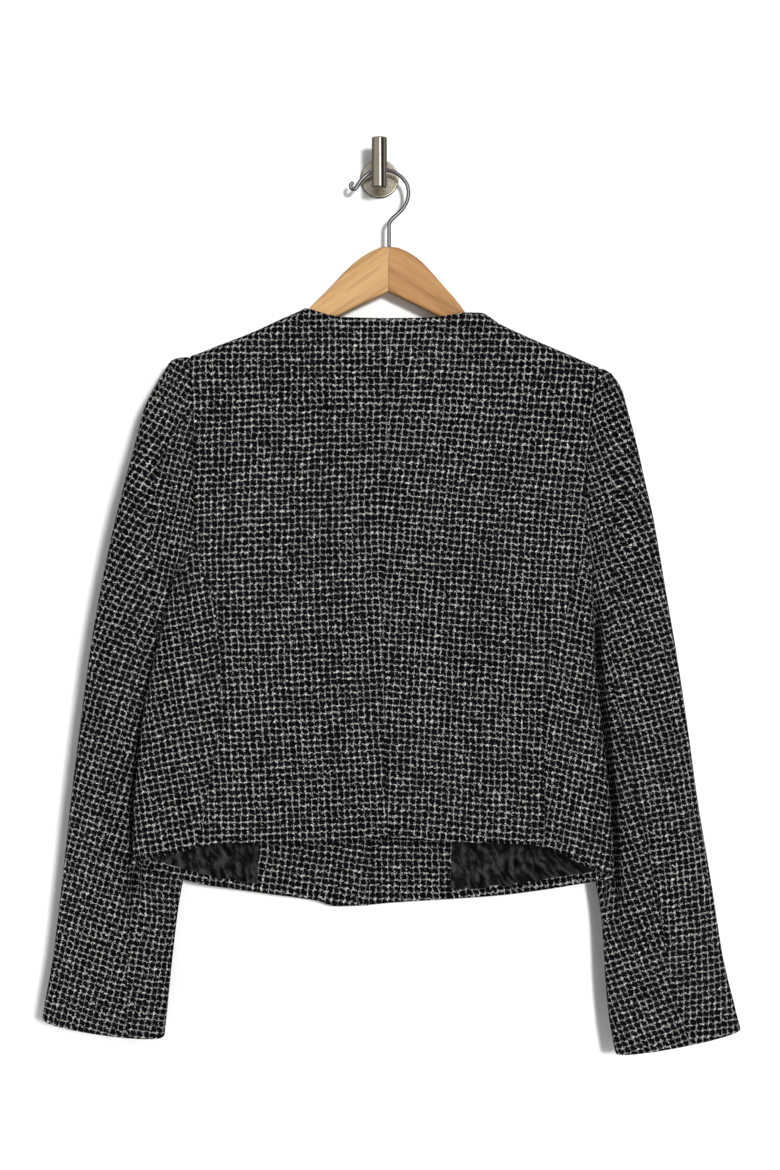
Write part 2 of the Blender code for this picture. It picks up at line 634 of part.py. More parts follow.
def add(name, mesh, finish, collection):
    """Makes an object of a mesh, paints it and puts it in the collection."""
    item = bpy.data.objects.new(name, mesh)
    collection.objects.link(item)
    paint(item, finish)
    return item


def cloth(name, grid, thickness, flip, finish, collection, even=True):
    """A wall of cloth: an open grid of points, thickened towards the inside. At a sharp fold an
    even wall would reach too far in, so sleeves do without."""
    rows, columns = grid.shape[:2]
    index = np.arange(rows * columns).reshape(rows, columns)
    quads = np.stack([index[:-1, :-1], index[1:, :-1], index[1:, 1:], index[:-1, 1:]], -1)
    quads = quads.reshape(-1, 4)
    if flip:
        quads = quads[:, ::-1]
    mesh = bpy.data.meshes.new(name)
    mesh.from_pydata((grid.reshape(-1, 3) * MM).tolist(), [], quads.tolist())
    mesh.shade_smooth()
    item = add(name, mesh, finish, collection)
    wall = item.modifiers.new("wall", "SOLIDIFY")
    wall.thickness = thickness * MM
    wall.offset = -1
    wall.use_even_offset = even
    wall.use_quality_normals = True
    return item


def jacket(collection):
    """Every cloth panel, left and right."""
    for hand in ("left", "right"):
        flip = hand == "right"
        x, z = back(hand)
        grid = np.stack([x, body_y(x, z, BACK), z], -1)
        cloth("back_" + hand, grid, WALL, flip, "tweed", collection)
        cloth("side_" + hand, side_panel(hand), WALL, not flip, "tweed", collection)
        x, z = front(hand)
        grid = np.stack([x, front_y(hand)(x, z), z], -1)
        cloth("front_" + hand, grid, WALL, not flip, "tweed", collection)
        cloth("facing_" + hand, facing(hand), SKIN, flip, "tweed", collection)
        cloth("lining_" + hand, lining(hand), SKIN, flip, "satin", collection)
        cloth("hem_" + hand, turned_hem(hand), SKIN, flip, "tweed", collection)
        upper = sleeve_piece(hand, "upper", 15)
        cloth("upper_sleeve_" + hand, upper, WALL, flip, "tweed", collection, even=False)
        under = sleeve_piece(hand, "under", 12)
        cloth("under_sleeve_" + hand, under, WALL, flip, "tweed", collection, even=False)


def hanger_half(hand, collection):
    """One half of the wooden hanger: a strip between its top and underside, made thick."""
    out = -1 if hand == "left" else 1
    columns = []
    for arm in ARMS:
        reach = max(getattr(arm, hand), 0.2)
        top = getattr(arm, "top_" + hand)
        columns.append([(HANGER_X + out * reach, top), (HANGER_X + out * reach, arm.under)])
    grid = np.array(columns) * MM
    mesh = bpy.data.meshes.new("hanger_" + hand)
    front_y = (RIDGE_Y - HANGER_DEPTH / 2) * MM
    vertices = [(x, front_y, z) for pair in grid for x, z in pair]
    faces = []
    for i in range(len(ARMS) - 1):
        face = (2 * i, 2 * i + 1, 2 * i + 3, 2 * i + 2)
        faces.append(face if out > 0 else face[::-1])
    mesh.from_pydata(vertices, [], faces)
    item = add("hanger_" + hand, mesh, "wood", collection)
    wall = item.modifiers.new("wood", "SOLIDIFY")
    wall.thickness = HANGER_DEPTH * MM
    wall.offset = -1
    edge = item.modifiers.new("edge", "BEVEL")
    edge.width = HANGER_EDGE * MM
    edge.segments = 3
    edge.limit_method = "ANGLE"
    edge.angle_limit = math.radians(60)
    return item


def wire_hook(collection):
    """The hanger's wire hook: a round wire on a smooth route, swelling into a ball at its tip."""
    route = [RouteStep(step, p.x, p.z) for step, p in enumerate(HOOK_ROUTE)]
    steps = np.linspace(0, len(route) - 1, 55)
    x, z = smooth(steps, route, "step", "x"), smooth(steps, route, "step", "z")
    ball = HOOK_BALL / 2
    tip = np.array([x[-1], z[-1]])
    before = np.array([x[-3], z[-3]]) - tip
    before /= np.linalg.norm(before)
    along = np.radians([150, 125, 100, 75, 50, 25])
    ball_points = [tip + before * (-ball * math.cos(a)) for a in along]
    radii = [ball * math.sin(a) / (HOOK_WIRE / 2) for a in along]
    keep = np.hypot(x - tip[0], z - tip[1]) > ball * 1.15
    route_points = [(px, pz, 1.0) for px, pz in zip(x[keep], z[keep])]
    route_points += [(p[0], p[1], r) for p, r in zip(ball_points, radii)]
    curve = bpy.data.curves.new("hanger_hook", "CURVE")
    curve.dimensions = "3D"
    curve.bevel_depth = HOOK_WIRE / 2 * MM
    curve.bevel_resolution = 2
    curve.use_fill_caps = True
    spline = curve.splines.new("POLY")
    spline.points.add(len(route_points) - 1)
    for point, (px, pz, radius) in zip(spline.points, route_points):
        point.co = (px * MM, RIDGE_Y * MM, pz * MM, 1)
        point.radius = radius
    item = bpy.data.objects.new("hanger_hook", curve)
    collection.objects.link(item)
    paint(item, "steel")


def rod(name, radius, depth, place, finish, collection, upright=False, bevel=0.8, sides=32):
    """A round rod or disc along Y, or along Z where it is upright: a prism of `sides` flat faces
    whose rims are cut back by `bevel`."""
    shape = bmesh.new()
    bmesh.ops.create_cone(
        shape, cap_ends=True, segments=sides, radius1=radius * MM, radius2=radius * MM,
        depth=depth * MM,
    )
    mesh = bpy.data.meshes.new(name)
    shape.to_mesh(mesh)
    shape.free()
    item = add(name, mesh, finish, collection)
    item.location = [value * MM for value in place]
    if not upright:
        item.rotation_euler = (math.pi / 2, 0, 0)
    rim = item.modifiers.new("rim", "BEVEL")
    rim.width = bevel * MM
    rim.segments = 1
    rim.limit_method = "ANGLE"
    rim.angle_limit = math.radians(50)
    return item


def wall_hook(collection):
    """Wall plate, stem and upright pin."""
    plate = rod("hook_plate", PLATE_RADIUS, PLATE_DEPTH, (0, -PLATE_DEPTH / 2, 0), "steel", collection)
    plate.modifiers["rim"].width = 0.6 * MM
    stem_start, stem_end = -PLATE_DEPTH - AIR, PIN_Y + PIN_RADIUS + AIR
    rod("hook_stem", STEM_RADIUS, stem_start - stem_end, (0, (stem_start + stem_end) / 2, 0),
        "steel", collection, bevel=0.2, sides=24)
    rod("hook_pin", PIN_RADIUS, PIN_TOP - PIN_BOTTOM, (0, PIN_Y, (PIN_TOP + PIN_BOTTOM) / 2),
        "steel", collection, upright=True, bevel=1.0)


def buttons(collection):
    """Plain buttons on the outside of the right front."""
    for number, z in enumerate(BUTTON_HEIGHTS, 1):
        x = float(smooth(np.array(z), MIDDLES, "z", "right_front")) + BUTTON_INSET
        reach = np.linspace(-BUTTON_RADIUS, BUTTON_RADIUS, 5)
        cloth_y = max(
            right_front_y(x + reach, z + 0 * reach).max(), right_front_y(x + 0 * reach, z + reach).max()
        )
        y = cloth_y + AIR + BUTTON_DEPTH / 2
        rod(f"button_{number}", BUTTON_RADIUS, BUTTON_DEPTH, (x, y, z), "button", collection,
            bevel=0.6, sides=18)


def main():
    """Clears the file and makes every solid in one collection."""
    for item in list(bpy.data.objects):
        bpy.data.objects.remove(item, do_unlink=True)
    collection = bpy.data.collections.new("tweed_jacket_on_hanger")
    bpy.context.scene.collection.children.link(collection)
    jacket(collection)
    for hand in ("left", "right"):
        hanger_half(hand, collection)
    wire_hook(collection)
    wall_hook(collection)
    buttons(collection)


main()
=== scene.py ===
"""Looks of a cropped tweed jacket that hangs on a wooden hanger and a wall hook.

The file is laid out as an add-on: a panel in the sidebar lists one button for each group of
pieces. Every panel of cloth is a fine sheet on the same surface as its solid: the body of the
jacket is one flattened tube, and each sleeve another, worked out from the tables below, in
millimetres. The wall is the plane y = 0 and the room lies towards -Y.
"""

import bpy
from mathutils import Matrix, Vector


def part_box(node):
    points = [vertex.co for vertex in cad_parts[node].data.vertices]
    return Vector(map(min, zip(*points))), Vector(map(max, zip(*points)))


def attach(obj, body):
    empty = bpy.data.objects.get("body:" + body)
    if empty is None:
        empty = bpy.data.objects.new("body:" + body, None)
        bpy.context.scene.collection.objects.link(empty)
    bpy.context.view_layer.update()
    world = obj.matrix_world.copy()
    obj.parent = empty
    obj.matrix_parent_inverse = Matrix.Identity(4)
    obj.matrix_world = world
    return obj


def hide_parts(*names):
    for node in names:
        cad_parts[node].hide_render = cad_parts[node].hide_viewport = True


bl_info = {
    "name": "Tweed Jacket on a Hanger",
    "version": (1, 0, 0),
    "blender": (4, 5, 0),
    "location": "View3D > Sidebar > Jacket",
    "description": "Makes the cloth, hanger, wall hook and studio of a cropped tweed jacket",
    "category": "Object",
}

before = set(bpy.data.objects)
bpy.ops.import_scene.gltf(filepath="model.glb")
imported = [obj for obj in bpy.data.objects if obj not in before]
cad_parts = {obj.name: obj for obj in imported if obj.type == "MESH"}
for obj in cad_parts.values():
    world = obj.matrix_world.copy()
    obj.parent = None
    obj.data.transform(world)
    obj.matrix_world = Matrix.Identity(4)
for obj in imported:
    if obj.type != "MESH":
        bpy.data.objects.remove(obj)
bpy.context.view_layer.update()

from collections import namedtuple
import math

import bmesh
import bpy
from bpy.props import FloatProperty, FloatVectorProperty, PointerProperty
from mathutils import Euler, Vector
import numpy as np

MM = 0.001
OUT = {"left": -1, "right": 1}  # outwards on each hand, as the sign of x
HANDS = tuple(OUT)
BACK, FRONT = -1, 1  # the side of the tube, as the sign of y

# Thicknesses and gaps of the cloth.
WALL = 1.6  # tweed, with its fusing
SKIN = 1.0  # satin lining, facing and turned hem
SEAM = 0.03  # each side of a seam, which is pressed flat
ARM_GAP = 0.12  # from the edge of the body to the sleeve at the armhole seam
ARM_GAP_FADE = 16.0  # height below the underarm over which it closes to a seam
UNDERARM_GAP = 0.2  # the same, straight down, at the side panels
SHOULDER_GAP = 0.05  # each side of the shoulder seam
SLEEVE_GAP = 0.12  # share of the room at the sleeve seams that the cloth leaves open
AIR = 0.3  # between pieces that lie on each other
LOOSE = 0.9  # from a front to the facing, lining or turned hem that lies on it
TURNED_UP = 33.0  # tweed turned up inside the hems and cuffs

# Rows near the edges, and the width and depth of the quarter round in which each edge turns in.
EDGE_STEPS = (0.0, 0.6, 1.3, 2.1, 3.0, 4.2)
RIDGE_STEPS = (5.6, 16.0, 1.6)  # further rows over the shoulder: from, to and spacing
FOLDED = (3.0, 1.7)
PRESSED = (2.6, 0.75)
SET_SEAM = (3.2, 1.2)  # at an armhole, which is plumper
PANEL_EDGES = {"top": SET_SEAM, "bottom": FOLDED, "start": PRESSED, "end": PRESSED}
FACING_EDGES = {"top": PRESSED, "bottom": (2.2, 0.8), "start": (2.2, 0.7)}
LINING_EDGES = {"bottom": (2.4, 0.8), "start": (1.5, 0.6)}
TURNED_EDGES = {"bottom": (2.2, 0.8)}

# Rough sizes of the panels, which only set how many points they get.
PANEL_LENGTH = 450.0  # of a back or a front below the shoulder
SIDE_WIDTH = 110.0
LINING_WIDTH, LINING_LENGTH = 90.0, 280.0
TURNED_LENGTH = 110.0  # of a turned hem
SLEEVE_WIDTHS = {"upper": 190.0, "under": 150.0}
FINE = 0.7  # finer spacing of the linings, which are puckered

# The body.
RIDGE_Y = -22.0  # the shoulder line, over the middle of the hanger
RIDGE_ROUND = 9.0  # radius of the cloth over the hanger
UNDERARM_TOP = -342.0  # where the side panels start
UNDERARM = -377.0  # lowest point of the armholes
NECK_POINTS = {"left": -69.5, "right": 84.5}
NECK_LEVEL = 4.2  # a front neckline runs level over the hanger, then drops
NECK_DROP = 80.0  # front neckline below the neck points
NECK_HEIGHT = -130.0  # about the height of the neck points, where a panel's width is read
NECK_ENDS = -150.0  # about the height where a front neckline meets the front edge
HEM_LEVEL = -645.0  # about the height of the hem, where its width is read
FRONT_LENS = 1.5  # how sharply the front nears the side folds
LENS_DROPS = (110, 220)  # drops between which the tube starts to close at the side folds
CREASE_DROPS = (5, 60)  # drops between which the folds set in
CREASE_STARTS, CREASE_ENDS = (-0.12, 0.22), (0.86, 1.2)  # where a fold rises, and dies down
RIPPLE = 0.35  # height of a faint ripple all over
LAP = 4.6  # how far the right front stands outside the left one
LAP_FADE = (6, 70)  # from the left front's edge: where that runs out

# Inside the fronts.
FACING_AT_HEM = 104.0
FACING_AT_NECK = 62.0
FACING_WIDENS = (-260, -560)
FACING_TOP, FACING_HEM = -205.0, -680.0  # heights where the front edge is read for its ends
FACING_IN = 1.0  # from the front edge to the facing
HEM_IN = 0.8  # from the hem to the facing and the turned hem
HEM_TURNED = 8.6  # depth of turned hem that shows under the lining
HEM_UNDER = 1.2  # of it that goes under the lining
LINING_TOP = -372.0
LINING_LOW = -660.0  # where the x is read at which the lining nears the hem
LINING_CLEAR = 14.0  # from the side fold to the lining
PUCKER_FLOOR = -0.4  # a pucker can't press deeper into the front
PUCKER_RIPPLE = 0.35

# The sleeves.
SET_IN = 5.0  # rings over which a sleeve leaves the shape of its armhole
SLEEVE_CLEAR = 1.4  # a sleeve lies this far behind the front that covers it
SLEEVE_SOFT = 3.0  # how softly it is bent back there
COVERED = (1.01, 0.975)  # places across the body between which the front covers it
COVERED_BELOW = (2, -12)  # heights from the underarm between which that sets in
CUFF_DIP = {"left": 5.0, "right": 3.5}  # the near side of a cuff hangs lower
CUFF_RINGS = (14, 17)
VALLEY_END = (-700, -655)
SLEEVE_MIDDLE = {"left": (-245.0, 0.0, -480.0), "right": (265.0, 0.0, -490.0)}
WEAVE_LEVEL = -400.0  # height about which the warps lean

# The hanger, its wire and the wall hook.
HANGER_X = 8.2
HANGER_DEPTH = 12.4
HANGER_EDGE = 3.6
HANGER_TIP = 6.0  # length of the round at the end of an arm
HANGER_JOINT = (1.2, 0.15)  # width and depth of the soft edge at the middle joint
HOOK_WIRE = 3.5
PLATE_RADIUS, PLATE_DEPTH = 18.0, 4.0
STEM_RADIUS = 3.5
PIN_RADIUS, PIN_Y = 7.0, -38.0
PIN_TOP, PIN_BOTTOM = 33.5, -13.5
BUTTON_RADIUS, BUTTON_DEPTH = 9.5, 2.6
BUTTON_HOLE = 1.5  # from the middle of a button to each hole, across and up

# The stage.
KEY_FROM = (14.5, 7.5)  # degrees to the right and up
KEY_SIZE = 7.0  # degrees across
KEY_COLOUR = (1.0, 1.0, 0.985)
CAMERA_PLACE = (9.9, -2560.0, -382.1)
CAMERA_LENS = 83.61
WALL_HOLLOW = 40.0  # how far the wall of the stage curves away behind the sleeves
PAINTED_WALL_REFLECTION = 0.12  # share of its tone that the wall shows to reflections: a painted dark reflection in the metals
WALL_BACK = 0.6  # from the back of the plate to the wall of the stage
FLOOR = -1600.0
STAGE_SIDE = 3200.0  # half width of wall and floor


def table(columns, *rows):
    """Rows of numbers whose columns have names."""
    Row = namedtuple("Row", columns)
    return [Row(*row) for row in rows]


# Top edge of the back: shoulder, neckline, shoulder. `ridge` is the line that the depth starts at.
TOPS = table(
    "x edge ridge",
    (-230, -171.5, -171.5), (-194, -171, -171), (-177, -168.2, -168.2),
    (-149, -157.9, -157.9), (-118, -145.8, -145.8), (-93, -134.2, -134.2),
    (-69.5, -123.4, -123.4), (-66, -124.4, -121), (-60, -126.4, -117.5),
    (-46, -130.6, -117), (-32, -132.6, -119), (8, -133.6, -120), (47, -132.8, -119.5),
    (71, -129.6, -118.5), (81, -128, -122.5), (84.5, -127.4, -127.4),
    (94, -127.6, -127.6), (112.6, -138.3, -138.3), (140.7, -151.4, -151.4),
    (178, -167.3, -167.3), (207, -179, -179), (235, -184, -184),
)

# Side folds of the tube. Above the underarm they lie outside the armholes and are not reached.
FOLDS = table(
    "z left right",
    (-120, -216, 242), (-200, -214, 238), (-285, -207, 226), (-342, -198, 210),
    (-377, -191, 197), (-417, -200, 198), (-450, -207.6, 199), (-497, -216.8, 203.5),
    (-544, -222.3, 209), (-590, -226.5, 213.5), (-660, -227.5, 217.5),
)

# Depth by the drop below the shoulder line: half depths past the round, the middle of the tube,
# and how far its side folds lie in front of that middle.
DEPTHS = table(
    "drop back front mid camber",
    (0, 0, 0, -22, 0), (40, 5, 1, -23, 0), (90, 13, 4, -27, 3), (150, 20, 9, -32, 9),
    (220, 25, 14, -36.5, 16), (300, 27, 16, -38, 18), (560, 28, 17, -38, 18),
)

# Armholes: the edge of the body where the sleeves are set in.
ARMHOLES = table(
    "z left right",
    (-100, -177, 206), (-168, -177, 206), (-202, -174.3, 200.4), (-240, -172.5, 195.4),
    (-285, -172, 191.6), (-325, -171, 191.5), (-342, -171.5, 193), (-361, -179, 195),
    (-377, -191, 197),
)

# Seams from the armholes down: the side-back seams, and the side-front seams on the front.
SIDES = table(
    "z back_left back_right front_left front_right",
    (-342, -171.5, 193, -171.5, 193), (-370, -161.5, 184, -167.5, 184),
    (-417, -148.5, 169, -164, 171), (-450, -145.2, 159.6, -164.5, 166),
    (-487, -146.5, 153, -168, 164), (-543, -152, 151.2, -178, 167),
    (-590, -161, 151.5, -184, 171), (-660, -174, 152.5, -186, 174),
)

# Centre-back seam and the edges of the two fronts.
MIDDLES = table(
    "z seam left_front right_front",
    (-120, 10.8, 21, -10), (-205, 9, 19.5, -12), (-322, 3.5, 12, -19.5),
    (-387, 2.6, 7.5, -23.5), (-487, 4.4, 0.5, -29.5), (-614, 8.1, -7, -36.5),
    (-690, 8.1, -10.5, -39.5),
)

# Hems.
HEMS = table(
    "x back front",
    (-230, -637, -637), (-224, -635.9, -640), (-206, -631.2, -646.5), (-188, -627.5, -653.2),
    (-162, -620.5, -661), (-131, -618, -666.3), (-96, -619, -671.6), (-60, -617.8, -677),
    (-39, -616.3, -683), (-10, -614.2, -682.4), (8, -613.3, -680.6), (61, -617, -676.2),
    (114, -618.3, -671.6), (153, -622.2, -665.6), (177, -633, -660.8),
    (205, -646.5, -655), (218, -650, -650.5),
)

# Soft vertical folds: a crest (or, below nought, a trough) from (x_top, z_top) to (x_low, z_low).
# The main ones are also in the solids. The fine ones are slight and uneven.
CREASE = "x_top z_top x_low z_low width height"
BACK_CREASES = table(
    CREASE,
    # Main folds.
    (-20, -200, -14, -640, 26, 3.2), (26, -150, 22, -640, 22, -4.2),
    (75, -150, 78, -600, 30, 3), (-60, -170, -66, -560, 28, -2.4),
    (-104, -220, -112, -640, 24, 2.8), (-166, -420, -176, -620, 13, -3.4),
    (130, -240, 112, -650, 26, 2.4), (168, -430, 182, -620, 14, -3.4),
    (-150, -240, -156, -400, 20, 2), (160, -240, 158, -420, 20, -2),
    # Fine folds.
    (-46, -190, -50, -620, 13, 3.4), (-12, -180, -14, -640, 14, -4.6),
    (24, -200, 22, -640, 11, 3), (53, -170, 55, -640, 12, -5),
    (92, -190, 95, -640, 14, 3.2), (-128, -300, -130, -620, 14, 3.2),
    (150, -300, 158, -600, 12, 2), (-78, -200, -80, -420, 10, -1.8),
    (-84, -440, -88, -640, 12, -1.8), (-24, -430, -32, -600, 11, 2),
    (116, -260, 122, -560, 11, -1.6), (-128, -260, -138, -520, 9, 0.9),
    (-150, -560, -158, -640, 5, 0.9), (-174, -540, -186, -640, 5, 1),
    (-164, -575, -172, -640, 4, -0.9), (-40, -520, -46, -630, 8, 1),
    (4, -470, 2, -630, 7, -0.8), (58, -500, 60, -630, 8, 1),
    (136, -480, 142, -640, 7, 1.1), (156, -520, 166, -650, 6, -0.9),
    (-163, -330, -138, -460, 7, 1.1), (-168, -350, -160, -520, 6, -0.9),
    (184, -340, 150, -470, 7, 1.1), (188, -360, 172, -560, 6, -1),
)
FRONT_CREASES = table(
    CREASE,
    # Main folds.
    (-120, -230, -128, -640, 26, 2.6), (-70, -280, -76, -690, 24, -2.4),
    (70, -260, 66, -690, 24, -2.4), (122, -230, 130, -640, 28, 2.6),
    # Fine folds.
    (-150, -330, -120, -480, 9, 1.2), (-96, -300, -100, -660, 9, -1),
    (-48, -360, -52, -670, 9, 0.9), (60, -330, 54, -670, 9, 0.9),
    (104, -300, 100, -650, 9, -1), (160, -330, 136, -480, 8, 1.2),
)
FACING_WAVES = table(
    CREASE,
    (-84, -590, -82, -690, 10, 0.9), (-40, -600, -44, -690, 12, 0.7),
    (26, -600, 24, -690, 10, 0.8),
)
LINING_FOLDS = table(
    CREASE,
    (-192, -555, -178, -630, 5, 2.2), (-181, -560, -158, -640, 4.2, 3.8),
    (-166, -600, -148, -655, 4, 4.2), (-152, -590, -128, -662, 4.2, 4.4),
    (-141, -560, -137, -622, 3.6, -2), (-132, -600, -116, -668, 3.6, 2.6),
    (-150, -390, -156, -540, 8, 1.4), (84, -560, 96, -672, 4.5, 2.4),
    (112, -590, 88, -668, 4, 3.6), (104, -560, 126, -640, 4.2, 3.8),
    (138, -585, 119, -662, 4, 3.6), (133, -560, 151, -640, 4.2, 4),
    (163, -590, 146, -652, 4, 3), (176, -560, 170, -640, 4.5, 2.6),
    (140, -390, 146, -540, 8, 1.4),
)

# Sleeve rings from the armhole to the cuff: the outer and inner edge of the flattened tube. Both
# sleeves share the half depth of each ring, the y of its middle and how far its inner edge lies
# behind the outer one.
RING = "outer_x outer_z inner_x inner_z"
RINGS = {
    "left": table(
        RING,
        (-177, -169.5, -191, -377), (-186, -170.2, -191.6, -377.8),
        (-193.5, -172.6, -191.8, -379.5), (-201, -183.3, -191.5, -383),
        (-207.5, -194.5, -190.8, -389), (-218.7, -216.9, -189, -398),
        (-226.5, -246.8, -185, -411), (-236.5, -284.1, -178, -426),
        (-245.8, -321.4, -167, -442), (-254.2, -358.8, -156, -458),
        (-261.7, -396, -149, -480), (-268.2, -433.4, -150, -508),
        (-278.5, -508.1, -161, -564), (-287.8, -582.7, -176, -622),
        (-296.2, -657.4, -188, -684), (-305.5, -732, -195.6, -752),
        (-311.5, -766, -198.6, -782), (-315.4, -788.3, -201, -804.4),
    ),
    "right": table(
        RING,
        (206, -179.6, 197, -377), (211, -181.4, 197.4, -377.8),
        (215.8, -184, 197.5, -379.5), (221, -190.6, 197.2, -383),
        (226.4, -201, 196.6, -389), (230.6, -217, 195.5, -398),
        (238.5, -246.8, 192.5, -411), (246.9, -284.1, 187, -426),
        (255.3, -321.4, 179, -442), (261.9, -358.8, 170, -458),
        (268.4, -396, 167, -481), (274.9, -433.4, 169, -512),
        (286.5, -508.1, 182, -572), (296.9, -582.7, 196, -632),
        (309.5, -657.4, 207.5, -694), (321.6, -732, 211.8, -760),
        (331, -771, 215.6, -794), (337.9, -798, 220.8, -820.7),
    ),
}
RING_DEPTHS = table(
    "depth mid tilt",
    (15, -35.5, -13.5), (16, -34.7, -11.7), (17.3, -33.7, -9.7), (18.6, -32.7, -7.2),
    (19.6, -31.7, -4.2), (20.2, -30.5, -1), (20, -28.5, 2), (19.5, -26.5, 5),
    (19, -24.7, 6.7), (18.5, -23, 7), (18, -22, 6), (17.5, -21.5, 6),
    (17, -21, 5), (16.5, -20.5, 4), (15.5, -20, 2), (14, -20, 0),
    (13, -20, 0), (12.5, -20, 0),
)

# Sleeve seams by ring, in degrees round the tube: 0 outer edge, 90 near side, 180 inner edge.
# `gap` is each side of a seam; it is wider where the seams run nearly along the rings.
SEAMS = {
    "left": table(
        "ring elbow inner gap",
        (0, 62, 262, 0.2), (6, 78, 256, 1.25), (11, 92, 250, 0.27), (17, 115, 246, 0.25),
    ),
    "right": table(
        "ring elbow inner gap",
        (0, 62, 262, 0.22), (6, 84, 256, 1.1), (11, 94, 250, 0.27), (17, 80, 246, 0.25),
    ),
}

# Soft creases of the sleeves: at a ring and an angle, slanting by `slant` degrees a ring.
DENT = "ring angle slant along across height"
DENTS = {
    "left": table(
        DENT,
        # Main creases.
        (9.5, 70, -9, 2.6, 16, -2.2), (12.4, 78, 10, 1.6, 18, -2), (11.4, 30, 12, 1.4, 14, 1.6),
        (14.6, 62, -10, 1.5, 20, 1.6), (11.5, 300, -12, 2, 18, -2),
        (5, 300, 10, 2, 16, -2),
        # Fine creases.
        (2, 40, 0, 1.7, 70, 1.1), (8.2, 40, 14, 0.8, 12, 0.9), (10.6, 100, 12, 0.7, 12, -1.1),
        (11.8, 50, -14, 0.6, 14, -1), (13.2, 96, -10, 0.7, 12, 1),
        (15.8, 40, 8, 0.6, 18, -0.8), (12, 200, 12, 1.2, 16, 1),
        (12.6, 100, -16, 1, 9, 2.6), (12.2, 119, -14, 0.9, 8, -2.6),
        (13.4, 80, 12, 0.8, 9, -2.3), (13.9, 96, 14, 0.8, 9, 2),
        (11.2, 121, -10, 0.8, 10, 2.2), (10.6, 136, 10, 0.8, 9, -2.2),
        (11.9, 58, -14, 0.8, 9, -1.8),
    ),
    "right": table(
        DENT,
        # Main creases.
        (8.8, 66, -10, 2.4, 16, -2.2), (12.2, 84, 9, 1.8, 18, -2.2), (13.4, 40, -12, 1.4, 16, 1.8),
        (15, 76, 9, 1.3, 18, -1.6), (11, 300, 12, 2, 18, -2),
        (5, 300, -10, 2, 16, -2),
        # Fine creases.
        (2, 40, 0, 1.7, 70, 1.1), (7.6, 50, -12, 0.8, 12, 0.9), (10.4, 96, -12, 0.7, 12, -1.1),
        (11.6, 60, 12, 0.6, 14, -1), (13, 110, 10, 0.8, 12, 1.2),
        (14.2, 70, -12, 0.6, 14, 0.9), (12, 200, -12, 1.2, 16, 1),
        (11.8, 113, 14, 0.9, 8, -2.4), (12.5, 96, 15, 1, 9, 2.3),
        (13.3, 73, -12, 0.8, 9, -2.1), (9.6, 121, -12, 1, 9, -2.2),
        (8.9, 101, -12, 1, 9, 2.1), (14.1, 100, 12, 0.8, 9, -1.9),
    ),
}

# Beside the body a sleeve falls away into dark valleys, each from a height where it begins to one
# where it is full: its depth, its width beyond the side fold, and how steep its outer wall is.
VALLEY = "start full depth width steep"
VALLEYS = {
    "left": table(VALLEY, (-430, -510, 4, 15, 2), (-500, -545, 10, 5, 4)),
    "right": table(VALLEY, (-365, -450, 24, 6.6, 4)),
}

# How the weave lies in each panel: the rise and the lean of its threads in degrees, a shift in
# mm, and the heights between which the rise sets in.
Grain = namedtuple("Grain", "rise lean shift level")
GRAINS = {
    "back_left": Grain(2.6, 1.5, 0, (-130, -300)),
    "back_right": Grain(-4.3, -4, 0, (-130, -300)),
    "side_left": Grain(12, 9, 2.1, (-100, -200)),
    "side_right": Grain(-15, -11, 1.3, (-100, -200)),
    "front_left": Grain(2, 1, 3.4, (-130, -300)),
    "front_right": Grain(-2, -1, 0.7, (-130, -300)),
    "facing_left": Grain(-9, -8, 4.4, (-130, -500)),
    "facing_right": Grain(0.5, 0, 2.7, (-130, -500)),
    "lining_left": Grain(3, 2, 0, (-130, -500)),
    "lining_right": Grain(-3, -2, 0, (-130, -500)),
    "hem_left": Grain(-12, -10, 1.9, (-130, -500)),
    "hem_right": Grain(9, 8, 5.2, (-130, -500)),
}

# How far the weave is turned in each sleeve piece, in degrees, by height.
TURN = "z turn"
SLEEVE_TURNS = {
    "upper_sleeve_left": table(TURN, (-180, 30), (-330, 25), (-480, 18), (-640, 17), (-800, 16.5)),
    "under_sleeve_left": table(TURN, (-380, 15), (-480, 12), (-640, 10), (-800, 10)),
    "upper_sleeve_right": table(TURN, (-180, 26), (-330, 20), (-480, 15), (-640, 10), (-800, 6)),
    "under_sleeve_right": table(TURN, (-380, 20), (-560, 18), (-800, 20)),
}

# A sheet: its slot, the size of its cut in metres with the seams, its area and what it is sewn to
# # or hangs on.
Sheet = namedtuple("Sheet", "slot width length area rests_on")

# The hanger: its top and underside, by the distance from the middle joint.
ARMS = table(
    "left top_left right top_right under",
    (0, -66.4, 0, -66.4, -108.8), (7, -67.2, 7, -67, -112), (16, -71, 16, -70.2, -116.3),
    (28.7, -79.1, 28.7, -78.2, -122.3), (38.6, -87.9, 38.6, -88, -127.2),
    (51.2, -101.6, 51.2, -102.4, -133.6), (63.7, -114, 63.7, -116.6, -139.6),
    (71.5, -121.8, 71.5, -127.2, -143), (75.6, -127.2, 75.6, -134, -145),
    (101, -138.8, 104.4, -143.8, -161.5), (126, -149.8, 132.5, -155.6, -172),
    (156, -162.8, 162, -168.4, -182.5), (175, -171, 184, -178.2, -190.6),
)

# The wire hook of the hanger, from the wood up and over the stem to its curled tip.
HOOK_ROUTE = table(
    "x z",
    (9, -67.2), (9, -56), (9, -46), (11.4, -40.6), (17.2, -35.4), (22.6, -29.5),
    (26, -22.8), (27.2, -16), (26.2, -9.2), (22.8, -3.4), (17.6, 1.2), (11, 4.6),
    (3.5, 6), (-3, 5.4), (-9.4, 2.6), (-15, -1.6), (-18.6, -6.2), (-20.9, -10.2),
    (-23.4, -12.4), (-26.1, -11.6), (-26.9, -9), (-25.6, -6.9), (-23.8, -6.2),
)


def fade(value, start, end):
    """0 at start, 1 at end, with level ends."""
    t = np.clip((value - start) / (end - start), 0, 1)
    return t * t * (3 - 2 * t)


